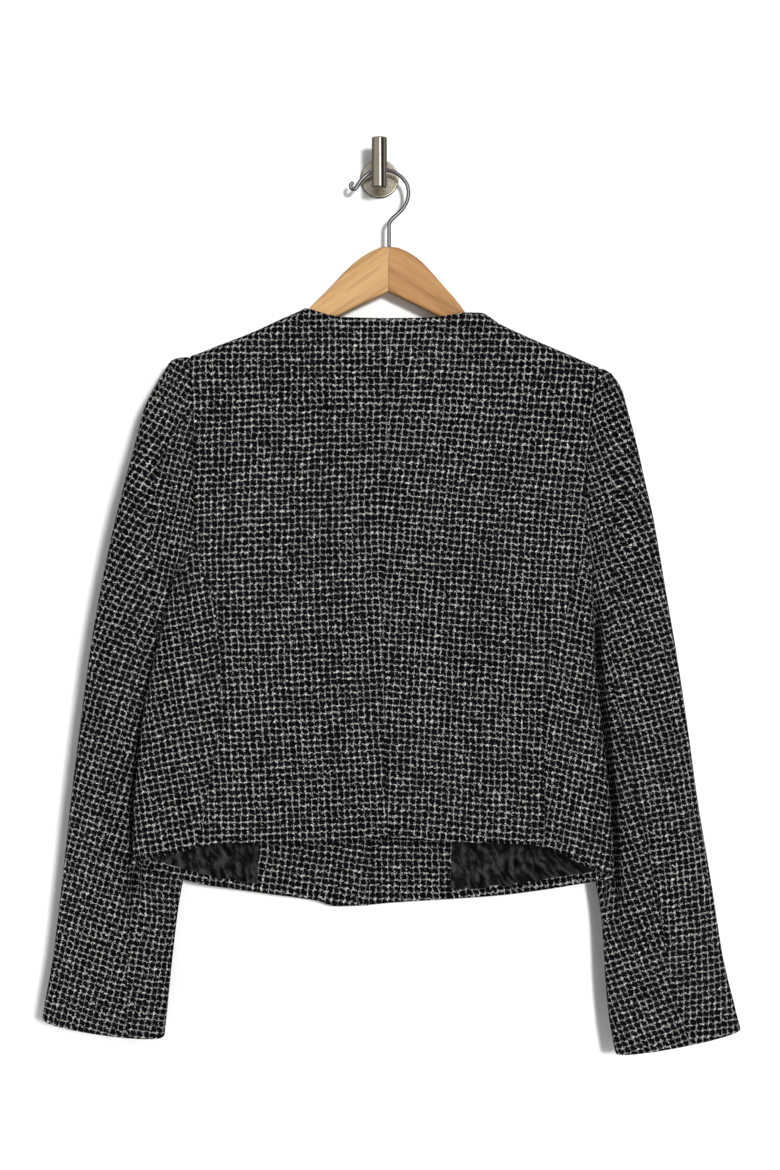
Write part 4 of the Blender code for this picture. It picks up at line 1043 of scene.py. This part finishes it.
class Graph:
    """The nodes of one material. An input is a number, a tuple or the output of another node."""

    def __init__(self, tree):
        self.tree = tree
        self.tree.nodes.clear()

    def node(self, kind, inputs, output=0, **settings):
        """Adds a node and gives one of its outputs."""
        node = self.tree.nodes.new("ShaderNode" + kind)
        for name, value in settings.items():
            setattr(node, name, value)
        for key, value in inputs.items():
            if isinstance(value, bpy.types.NodeSocket):
                self.tree.links.new(value, node.inputs[key])
            else:
                node.inputs[key].default_value = value
        return node.outputs[output] if len(node.outputs) else None

    def math(self, operation, first, second=0.0):
        """A step of arithmetic."""
        return self.node("Math", {0: first, 1: second}, operation=operation)

    def add(self, first, second):
        """The sum of two values."""
        return self.math("ADD", first, second)

    def less(self, first, second):
        """The first value less the second."""
        return self.math("SUBTRACT", first, second)

    def product(self, *factors):
        """All factors multiplied."""
        value = factors[0]
        for factor in factors[1:]:
            value = self.math("MULTIPLY", value, factor)
        return value

    def ramp(self, value, start, end, low=0.0, high=1.0):
        """From `low` to `high` with level ends, while the value goes from start to end."""
        inputs = {"Value": value, "From Min": start, "From Max": end, "To Min": low, "To Max": high}
        return self.node("MapRange", inputs, interpolation_type="SMOOTHSTEP")

    def from_middle(self, place):
        """Distance to the middle of a cell, where cells are 1 wide."""
        return self.math("ABSOLUTE", self.less(self.math("FRACT", place), 0.5))

    def mix(self, factor, first, second):
        """A colour between two others."""
        return self.node("Mix", {0: factor, 6: first, 7: second}, 2, data_type="RGBA")

    def join(self, x, y, z=0.0):
        """A vector of three values."""
        return self.node("CombineXYZ", {0: x, 1: y, 2: z})

    def split(self, vector):
        """The three values of a vector."""
        return self.node("SeparateXYZ", {0: vector}).node.outputs

    def scaled(self, vector, scale):
        """A vector multiplied by three numbers."""
        return self.node("VectorMath", {0: vector, 1: scale}, operation="MULTIPLY")

    def moved(self, vector, shift):
        """The sum of two vectors."""
        return self.node("VectorMath", {0: vector, 1: shift}, operation="ADD")

    def noise(self, vector, scale, detail=2.0, rough=0.5):
        """Soft noise between 0 and 1."""
        inputs = {"Vector": vector, "Scale": scale, "Detail": detail, "Roughness": rough}
        return self.node("TexNoise", inputs)

    def drift(self, vector, scale, reach):
        """A vector of three soft noises, about nought, that moves a pattern by up to `reach`."""
        colour = self.node("TexNoise", {"Vector": vector, "Scale": scale, "Detail": 1.0}, 1)
        centred = self.moved(colour, (-0.5, -0.5, -0.5))
        return self.scaled(centred, (reach * 2, reach * 2, 0.0))

    def shader(self, height, distance, **inputs):
        """Ends the material in a Principled shader, bumped by a height of 0 to 1."""
        sockets = {key.replace("_", " "): value for key, value in inputs.items()}
        sockets["Normal"] = self.node("Bump", {"Height": height, "Distance": distance})
        self.node("OutputMaterial", {0: self.node("BsdfPrincipled", sockets)})


def new_graph(name):
    """A new material and its graph. A material of that name that is there already is renamed."""
    material = bpy.data.materials.new(name)
    material.use_nodes = True
    return material, Graph(material.node_tree)


def solid(colour, share=1.0):
    """A colour of three or four numbers, made opaque, at a share of its brightness."""
    return tuple(part * share for part in colour[:3]) + (1.0,)


def grey(value, tint=(1.0, 1.0, 1.0)):
    """A colour of one brightness, tinted."""
    return solid(tint, value)


# The weave, in cells of one check. The net of yarns is bent by drifts of (scale, reach). A set of
# yarns has a seed, the least and most half width, and how far a yarn lies aslant at a crossing.
BENDS = ((0.21, 0.26), (0.83, 0.17), (2.3, 0.26), (6.0, 0.23))
Yarns = namedtuple("Yarns", "seed widths rise")
WARPS = Yarns(3.0, (0.032, 0.075), 0.08)
WEFTS = Yarns(57.0, (0.035, 0.10), 0.19)
KNOT_LIGHT = 0.22  # how much a crossing adds to the light of its yarns
YARN_EDGE = 0.03  # how softly a yarn ends sideways
FIBRES = (3.0, 4.9)  # fibres in a cell, along the two diagonals
FOLD_SHADE_STRIPES = (0.17, 0.012, 1.0)  # wide stripes down the cloth, a little lighter or darker: painted shade in place of the shading of its soft vertical folds


def yarn(g, place, along, number, yarns):
    """One set of light yarns, in cells: how far each point is covered, from 0 to 1, and how bright
    it is. The yarn's half width changes along it between two parts of a cell. It is paler near the
    crossings than between them, and lies aslant there."""
    past = g.less(g.math("FRACT", along), 0.5)
    aside = g.from_middle(g.less(place, g.product(past, yarns.rise)))
    track = g.join(g.product(number, 7.31), g.add(along, yarns.seed), yarns.seed)
    half = g.ramp(g.noise(track, 1.7, 3.0, 0.65), 0.3, 0.7, *yarns.widths)
    cover = g.less(1.0, g.ramp(g.less(aside, half), -YARN_EDGE, YARN_EDGE))
    shine = g.noise(g.moved(track, (31.7, 4.1, 9.3)), 4.6, 2.0, 0.7)
    near = g.ramp(g.math("ABSOLUTE", past), 0.45, 0.12, 0.34, 1.0)
    return cover, g.product(g.ramp(shine, 0.36, 0.62, 0.16, 1.3), near)


def tweed(settings):
    """Woven tweed on the UV map `weave`, in metres: a square net of light slubby yarns over dark
    squares, with bright knots at the crossings, loose fibres, a little colour change and wide
    stripes of painted shade down the cloth."""
    material, g = new_graph("tweed_weave")
    size = 1 / settings.check_size
    flat = g.scaled(g.node("UVMap", {}, uv_map="weave"), (size, size, 0.0))
    bent = flat
    for scale, reach in BENDS:
        bent = g.moved(bent, g.drift(flat, scale, reach))
    u, v, _ = g.split(bent)
    column, row = g.math("FLOOR", u), g.math("FLOOR", v)
    warp, warp_bright = yarn(g, u, v, column, WARPS)
    weft, weft_bright = yarn(g, v, u, row, WEFTS)
    warp_lit, weft_lit = g.product(warp, warp_bright), g.product(weft, weft_bright)
    spot = g.join(g.product(column, 5.17), g.product(row, 3.71), 8.0)
    knot = g.product(warp, weft, g.ramp(g.noise(spot, 1.0, 0.0), 0.35, 0.65, 0.4, 1.0))
    lit = g.add(g.math("MAXIMUM", warp_lit, weft_lit), g.product(knot, KNOT_LIGHT))
    slant = g.join(g.product(g.add(u, v), FIBRES[0]), g.product(g.less(u, v), FIBRES[1]))
    fibres = g.noise(slant, 1.0, 1.0, 0.6)
    # Painted shade: wide soft stripes down the cloth dim and lift the light yarns, in place of the
    # shading of the drape's vertical folds.
    fold_shade = g.noise(g.moved(g.scaled(flat, FOLD_SHADE_STRIPES), (9.0, 2.0, 0.0)), 1.0, 2.0)
    lit = g.product(lit, g.ramp(fibres, 0.37, 0.63, 0.0, 2.1), g.ramp(fold_shade, 0.33, 0.67, 0.78, 1.14))
    in_u, in_v = g.from_middle(g.add(u, 0.5)), g.from_middle(g.add(v, 0.5))
    centre = g.ramp(g.add(g.product(in_u, in_u), g.product(in_v, in_v)), 0.07, 0.0)
    patch = g.noise(g.moved(flat, (40.0, 0.0, 0.0)), 0.13, 2.0)
    patch = g.ramp(patch, 0.35, 0.65, 0.4, 1.0)
    centre = g.product(centre, g.ramp(fibres, 0.3, 0.8, 0.2, 1.0), patch)
    ground = g.mix(centre, solid(settings.dark_yarn), solid(settings.navy_yarn))
    stray = g.ramp(g.noise(g.scaled(flat, (6.0, 5.0, 1.0)), 1.0, 3.0, 0.7), 0.60, 0.80, 0.0, 0.24)
    warmth = g.ramp(g.less(warp_lit, weft_lit), -0.25, 0.25)
    light = g.mix(warmth, solid(settings.light_yarn), solid(settings.cool_yarn))
    colour = g.mix(g.math("MINIMUM", g.add(lit, stray), 1.0), ground, light)
    height = g.add(g.add(g.product(lit, 0.7), g.product(fibres, 0.35)), g.product(centre, 0.25))
    g.shader(height, 0.0005, Base_Color=colour, Roughness=0.95, Specular_IOR_Level=0.0)
    return material


def satin():
    """Black satin lining on the UV map `weave`: fine warps, a soft sheen, and slanting ripples
    whose broad patches carry painted highlights in the colour.
    """
    material, g = new_graph("satin_weave")
    flat = g.scaled(g.node("UVMap", {}, uv_map="weave"), (1 / MM, 1 / MM, 0.0))
    threads = g.noise(g.scaled(flat, (5.0, 0.5, 1.0)), 1.0, 3.0, 0.6)
    slant = g.node("Mapping", {"Vector": flat, "Rotation": (0.0, 0.0, math.radians(-28))})
    ripple = g.noise(g.scaled(slant, (0.18, 0.08, 1.0)), 1.0, 3.0, 0.55)
    # Painted highlights: the slanting ripple noise lifts the colour from near black to grey in
    # broad patches, for the gleam on the wrinkles. The same noise also bumps the surface.
    colour = g.mix(g.ramp(ripple, 0.42, 0.66), grey(0.001), grey(0.036, (1.0, 1.0, 1.05)))
    g.shader(g.add(ripple, g.product(threads, 0.04)), 0.0022, Base_Color=colour,
             Roughness=g.ramp(threads, 0.2, 0.8, 0.36, 0.46), Specular_IOR_Level=0.14,
             Sheen_Weight=0.22, Sheen_Roughness=0.3, Sheen_Tint=(0.62, 0.62, 0.64, 1.0))
    return material


def wood(name, pale, deep, lean):
    """Varnished maple whose grain runs along an arm that leans by an angle: long streaks of noise
    and a few darker veins, on Object coordinates."""
    material, g = new_graph(name)
    here = g.node("TexCoord", {}, 3)
    leaning = g.node("Mapping", {"Vector": here, "Rotation": (0.0, math.radians(lean), 0.0)})
    along = g.moved(g.scaled(leaning, (9.0, 130.0, 130.0)), g.drift(here, 16.0, 0.6))
    streak = g.noise(along, 1.0, 4.0, 0.62)
    fine = g.noise(g.scaled(along, (1.0, 6.0, 6.0)), 1.0, 3.0, 0.7)
    vein = g.ramp(g.noise(g.scaled(along, (0.6, 1.7, 1.7)), 1.0, 2.0, 0.4), 0.56, 0.70)
    darker = solid(deep, 0.62)
    colour = g.mix(g.ramp(streak, 0.30, 0.70), solid(deep), solid(pale))
    colour = g.mix(g.product(vein, 0.45), colour, darker)
    colour = g.mix(g.ramp(fine, 0.5, 0.8, 0.0, 0.22), colour, darker)
    g.shader(g.add(fine, g.product(streak, 0.5)), 0.00012, Base_Color=colour,
             Roughness=g.ramp(fine, 0.3, 0.7, 0.42, 0.54), Specular_IOR_Level=0.35,
             Coat_Weight=0.12, Coat_Roughness=0.3)
    return material


def metal(name, colour, rough, stretch, depth):
    """Polished or brushed metal: fine scratches stretched along one axis change its roughness."""
    material, g = new_graph(name)
    here = g.node("TexCoord", {}, 3)
    lines = g.noise(g.scaled(here, stretch), 1.0, 4.0, 0.65)
    cloud = g.noise(here, 90.0, 2.0, 0.5)
    tint = g.mix(g.ramp(cloud, 0.3, 0.7), solid(colour, 0.9), solid(colour))
    worn = g.ramp(g.add(lines, g.product(cloud, 0.4)), 0.4, 1.0, rough * 0.75, rough * 1.3)
    g.shader(lines, depth, Base_Color=tint, Metallic=1.0, Roughness=worn)
    return material


def horn(name):
    """Black polished button, with a faint cloud in its colour."""
    material, g = new_graph(name)
    cloud = g.noise(g.node("TexCoord", {}, 3), 160.0, 4.0, 0.6)
    colour = g.mix(g.ramp(cloud, 0.4, 0.7), grey(0.012), grey(0.03, (1.0, 1.0, 1.1)))
    g.shader(cloud, 0.00008, Base_Color=colour, Roughness=g.ramp(cloud, 0.3, 0.7, 0.22, 0.32))
    return material


def shared(make, name, *settings):
    """A finish that several pieces take: made once, then found again by its name."""
    return bpy.data.materials.get(name) or make(*settings)


def cloth_finishes(context):
    """Tweed, and satin for the inner face."""
    settings = context.scene.jacket
    return [shared(tweed, "tweed_weave", settings), shared(satin, "satin_weave")]


def add_panel(context, kind, hand, make, finishes, flip, fine=1.0, to_middle=False, **shell):
    """Adds one panel of the body with its weave. `make` gives its points, and `fine` how much
    closer together they lie."""
    node = kind + "_" + hand
    points = make(hand, fine * context.scene.jacket.mesh_step / MM)
    weave = body_weave(points, hand, GRAINS[node], to_middle)
    wall_of_cloth(node, points, weave, flip, finishes, **shell)


class JacketSettings(bpy.types.PropertyGroup):
    """Sizes and colours of the jacket."""

    mesh_step: FloatProperty(
        name="Mesh Step", description="Spacing of the points of the cloth", default=0.0027,
        min=0.0015, max=0.01, unit="LENGTH")
    check_size: FloatProperty(
        name="Check Size", description="Spacing of the light yarns", default=0.006,
        min=0.002, max=0.03, unit="LENGTH")
    light_yarn: FloatVectorProperty(
        name="Light Yarn", description="Colour of the light yarns", default=(0.86, 0.88, 0.79),
        size=3, min=0.0, max=1.0, subtype="COLOR")
    cool_yarn: FloatVectorProperty(
        name="Cool Yarn", description="Colour of the light yarns that run up and down",
        default=(0.84, 0.85, 0.88), size=3, min=0.0, max=1.0, subtype="COLOR")
    dark_yarn: FloatVectorProperty(
        name="Dark Yarn", description="Colour of the dark ground", default=(0.0006, 0.0006, 0.0007),
        size=3, min=0.0, max=1.0, subtype="COLOR")
    navy_yarn: FloatVectorProperty(
        name="Navy Yarn", description="Colour in the middle of the dark squares",
        default=(0.008, 0.010, 0.020), size=3, min=0.0, max=1.0, subtype="COLOR")
    key_light: FloatProperty(
        name="Key Light", description="Strength of the key light", default=2.75, min=0.0, max=20.0)
    fill_light: FloatProperty(
        name="Fill Light", description="Strength of the light from all round", default=0.45,
        min=0.0, max=5.0)


class JACKET_OT_backs(bpy.types.Operator):
    """Add the two backs, with a centre-back seam"""

    bl_idname = "jacket.backs"
    bl_label = "Add Backs"

    def execute(self, context):
        for hand in HANDS:
            finishes = cloth_finishes(context)
            add_panel(context, "back", hand, back, finishes, hand == "right", to_middle=True)
        return {"FINISHED"}


class JACKET_OT_sides(bpy.types.Operator):
    """Add the side panels, which run round the folds under the arms"""

    bl_idname = "jacket.sides"
    bl_label = "Add Side Panels"

    def execute(self, context):
        for hand in HANDS:
            finishes = cloth_finishes(context)
            add_panel(context, "side", hand, side_panel, finishes, hand == "left", even=False)
        return {"FINISHED"}


class JACKET_OT_fronts(bpy.types.Operator):
    """Add the two fronts, the right one over the left one"""

    bl_idname = "jacket.fronts"
    bl_label = "Add Fronts"

    def execute(self, context):
        for hand in HANDS:
            finishes = cloth_finishes(context)
            add_panel(context, "front", hand, front, finishes, hand == "left", to_middle=True)
        return {"FINISHED"}


class JACKET_OT_insides(bpy.types.Operator):
    """Add the facings, linings and turned hems inside the fronts"""

    bl_idname = "jacket.insides"
    bl_label = "Add Facings and Linings"

    def execute(self, context):
        outer, inner = cloth_finishes(context)
        pieces = (("facing", facing, outer, 1.0), ("lining", lining, inner, FINE),
                  ("hem", turned_hem, outer, FINE))
        for hand in HANDS:
            for kind, make, finish, fine in pieces:
                add_panel(context, kind, hand, make, [finish], hand == "right", fine,
                          thickness=SKIN)
        return {"FINISHED"}


class JACKET_OT_sleeves(bpy.types.Operator):
    """Add the two-piece sleeves"""

    bl_idname = "jacket.sleeves"
    bl_label = "Add Sleeves"

    def execute(self, context):
        for hand in HANDS:
            for piece in SLEEVE_WIDTHS:
                node = piece + "_sleeve_" + hand
                points, anchor = sleeve_piece(hand, piece, context.scene.jacket.mesh_step / MM)
                weave = sleeve_weave(points, hand, anchor, SLEEVE_TURNS[node])
                wall_of_cloth(node, points, weave, hand == "right", cloth_finishes(context),
                              even=False)
        return {"FINISHED"}


class JACKET_OT_buttons(bpy.types.Operator):
    """Add the four buttons of the front"""

    bl_idname = "jacket.buttons"
    bl_label = "Add Buttons"

    def execute(self, context):
        finish = shared(horn, "button_gloss", "button_gloss")
        for number in range(1, 5):
            node = f"button_{number}"
            centre = [(low + high) / 2 / MM for low, high in zip(*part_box(node))]
            closed_surface(node, "horn", button_points(centre), finish)
        return {"FINISHED"}


class JACKET_OT_hanger(bpy.types.Operator):
    """Add the two halves of the wooden hanger"""

    bl_idname = "jacket.hanger"
    bl_label = "Add Hanger"

    def execute(self, context):
        finishes = {
            "left": wood("wood_left", (0.59, 0.362, 0.165), (0.475, 0.275, 0.115), 34),
            "right": wood("wood_right", (0.455, 0.248, 0.10), (0.30, 0.140, 0.050), -33),
        }
        for hand in HANDS:
            closed_surface("hanger_" + hand, "wood", hanger_arm(hand), finishes[hand])
        return {"FINISHED"}


class JACKET_OT_wire(bpy.types.Operator):
    """Add the wire hook of the hanger, with its curled tip"""

    bl_idname = "jacket.wire"
    bl_label = "Add Wire Hook"

    def execute(self, context):
        finish = metal("chrome", (0.40, 0.40, 0.41), 0.09, (60.0, 60.0, 60.0), 0.00003)
        closed_surface("hanger_hook", "wire", hook_wire(), finish)
        return {"FINISHED"}


class JACKET_OT_wall_hook(bpy.types.Operator):
    """Add the wall hook: its plate, stem and pin"""

    bl_idname = "jacket.wall_hook"
    bl_label = "Add Wall Hook"

    def execute(self, context):
        finish = metal("nickel", (0.64, 0.58, 0.48), 0.17, (900.0, 900.0, 22.0), 0.00004)
        low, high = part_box("hook_stem")
        plate = rounded_profile(PLATE_RADIUS, -PLATE_DEPTH, 0.0, 0.9, 0.15)
        stem = rounded_profile(STEM_RADIUS, low[1] / MM, high[1] / MM, 0.15, 0.15)
        pin = rounded_profile(PIN_RADIUS, PIN_BOTTOM, PIN_TOP, 1.6, 1.2)
        pieces = {
            "hook_plate": turned(plate, (0, 0, 0), False),
            "hook_stem": turned(stem, (0, 0, 0), False),
            "hook_pin": turned(pin, (0, PIN_Y, 0), True),
        }
        for node, points in pieces.items():
            closed_surface(node, "metal", points, finish)
        return {"FINISHED"}


def wall_points():
    """The wall: flat where the hook is, and below the hanger it curves away behind the sleeves by
    up to WALL_HOLLOW, so that they hang clear of it and cast a wide soft shadow."""
    far, outer = STAGE_SIDE, 1200.0
    close_x, close_z = np.linspace(-420, 440, 120), np.linspace(-950, -60, 120)
    x = np.concatenate([[-far, -outer], close_x, [outer, far]])[None, :]
    z = np.concatenate([[FLOOR], close_z, [400.0, 1800.0]])[:, None]
    aside = np.abs(x - HANGER_X)
    left_start, left_lower, right_start, run, heights = 110, 70, 140, 120, (-130, -330)
    left_start = left_start + left_lower * fade(z, -420, -680)
    start = np.where(x < HANGER_X, left_start, right_start)
    y = WALL_BACK + WALL_HOLLOW * fade(aside, start, start + run) * fade(z, *heights)
    return np.stack([x + 0 * z, y, z + 0 * x], -1)


def wall_paint(name, tone, seen_from_behind):
    """Matt white paint with a faint roller texture. In reflections it shows only a small share of
    its tone, as a painted dark reflection. From behind, and to the light, it isn't there, so that
    views from behind the wall show the jacket in the same light."""
    material, g = new_graph(name)
    here = g.node("TexCoord", {}, 3)
    grain = g.noise(here, 350.0, 3.0, 0.6)
    colour = g.mix(g.ramp(g.noise(here, 1.4, 2.0), 0.3, 0.7), grey(tone * 0.985), grey(tone))
    reflected = g.node("LightPath", {}, 3)
    # Painted reflection: glossy rays see only a small share of the wall's tone, so the metals
    # mirror it dark.
    colour = g.mix(reflected, colour, grey(tone * PAINTED_WALL_REFLECTION))
    bump = g.node("Bump", {"Height": grain, "Distance": 0.0001})
    paint = g.node("BsdfPrincipled", {"Base Color": colour, "Roughness": 0.85,
                                      "Specular IOR Level": 0.2, "Normal": bump})
    if not seen_from_behind:
        hidden = g.math("MAXIMUM", g.node("NewGeometry", {}, 6), g.node("LightPath", {}, 1))
        clear = g.node("BsdfTransparent", {0: (1.0, 1.0, 1.0, 1.0)})
        paint = g.node("MixShader", {0: hidden, 1: paint, 2: clear})
    g.node("OutputMaterial", {0: paint})
    return material


def room_light(tree, fill):
    """The light from all round. Towards the room it has a dark part to the right and a narrow
    bright beam beside it, which the metals reflect as stripes. It is cooler from high up, and
    weaker there and from below."""
    g = Graph(tree)
    x, y, z = g.split(g.node("TexCoord", {}, 0))
    level = g.math("MAXIMUM", g.add(g.product(x, x), g.product(y, y)), 1e-6)
    aside = g.math("DIVIDE", x, g.math("SQRT", level))
    in_front = g.ramp(y, 0.1, -0.1)
    dark = g.product(g.ramp(aside, 0.42, 0.50), g.ramp(aside, 0.995, 0.93), in_front)
    beam = g.product(g.ramp(aside, 0.08, 0.14), g.ramp(aside, 0.40, 0.34), in_front)
    low_light = g.add(g.ramp(dark, 0.0, 1.0, 1.0, 0.06), g.product(beam, 8.0))
    high = g.ramp(z, 0.22, 0.5)
    light = g.add(g.product(low_light, g.less(1.0, high)), g.product(high, 0.7))
    light = g.product(light, g.ramp(z, -0.4, -0.15, 0.4, 1.0))
    colour = g.mix(high, (1.0, 0.99, 0.965, 1), (0.94, 0.97, 1.0, 1))
    g.node("OutputWorld", {0: g.node("Background", {0: colour, 1: g.product(light, fill)})})


def aim(item, azimuth, elevation, distance, target):
    """Places a light on a ball round a target: azimuth is to the right of -Y, in degrees."""
    azimuth, elevation = math.radians(azimuth), math.radians(elevation)
    level = math.cos(elevation)
    towards = Vector((math.sin(azimuth) * level, -math.cos(azimuth) * level, math.sin(elevation)))
    item.location = Vector(target) + towards * distance
    item.rotation_euler = towards.to_track_quat("Z", "Y").to_euler()


class JACKET_OT_stage(bpy.types.Operator):
    """Add the wall, floor, lights and camera"""

    bl_idname = "jacket.stage"
    bl_label = "Add Wall, Lights and Camera"

    def execute(self, context):
        scene = context.scene
        settings = scene.jacket
        x, y = np.meshgrid((-STAGE_SIDE, STAGE_SIDE), (-4000.0, 3000.0))
        floor_points = np.stack([x, y, np.full_like(x, FLOOR)], -1)
        surfaces = (("wall", wall_points(), wall_paint("wall_paint", 0.9, False)),
                    ("floor", floor_points, wall_paint("floor_paint", 0.6, True)))
        for name, points, paint in surfaces:
            add_surface(name, points, grid_corners(points), [paint])
        sun = bpy.data.lights.new("key", "SUN")
        sun.energy = settings.key_light
        sun.angle = math.radians(KEY_SIZE)
        sun.color = KEY_COLOUR
        key = bpy.data.objects.new("key", sun)
        scene.collection.objects.link(key)
        aim(key, *KEY_FROM, 3.0, (0.0, 0.0, -0.4))
        key.visible_glossy = False  # its streak would wash out the wire; the beam stands in for it
        world = bpy.data.worlds.new("room")
        scene.world = world
        world.use_nodes = True
        room_light(world.node_tree, settings.fill_light)
        camera = bpy.data.objects.new("camera", bpy.data.cameras.new("camera"))
        scene.collection.objects.link(camera)
        camera.location = Vector(CAMERA_PLACE) * MM
        camera.rotation_euler = Euler((math.pi / 2, 0, 0))
        camera.data.lens = CAMERA_LENS
        camera.data.sensor_width = 36.0
        scene.camera = camera
        scene.view_settings.view_transform = "Standard"
        return {"FINISHED"}


class JACKET_PT_panel(bpy.types.Panel):
    """The sidebar panel of the jacket"""

    bl_label = "Tweed Jacket"
    bl_idname = "JACKET_PT_panel"
    bl_space_type = "VIEW_3D"
    bl_region_type = "UI"
    bl_category = "Jacket"

    def draw(self, context):
        for name in JacketSettings.__annotations__:
            self.layout.prop(context.scene.jacket, name)
        for operator in OPERATORS:
            self.layout.operator(operator.bl_idname)


OPERATORS = (
    JACKET_OT_stage, JACKET_OT_backs, JACKET_OT_sides, JACKET_OT_fronts, JACKET_OT_insides,
    JACKET_OT_sleeves, JACKET_OT_buttons, JACKET_OT_hanger, JACKET_OT_wire, JACKET_OT_wall_hook,
)
CLASSES = (JacketSettings,) + OPERATORS + (JACKET_PT_panel,)


def register():
    """Adds the classes and the settings."""
    for item in CLASSES:
        bpy.utils.register_class(item)
    bpy.types.Scene.jacket = PointerProperty(type=JacketSettings)


def unregister():
    """Takes them away again."""
    del bpy.types.Scene.jacket
    for item in reversed(CLASSES):
        bpy.utils.unregister_class(item)


def main():
    """Makes every piece in order."""
    register()
    bpy.ops.jacket.stage()
    bpy.ops.jacket.hanger()
    bpy.ops.jacket.wire()
    bpy.ops.jacket.wall_hook()
    bpy.ops.jacket.backs()
    bpy.ops.jacket.sides()
    bpy.ops.jacket.fronts()
    bpy.ops.jacket.insides()
    bpy.ops.jacket.sleeves()
    bpy.ops.jacket.buttons()


if __name__ == "__main__":
    main()
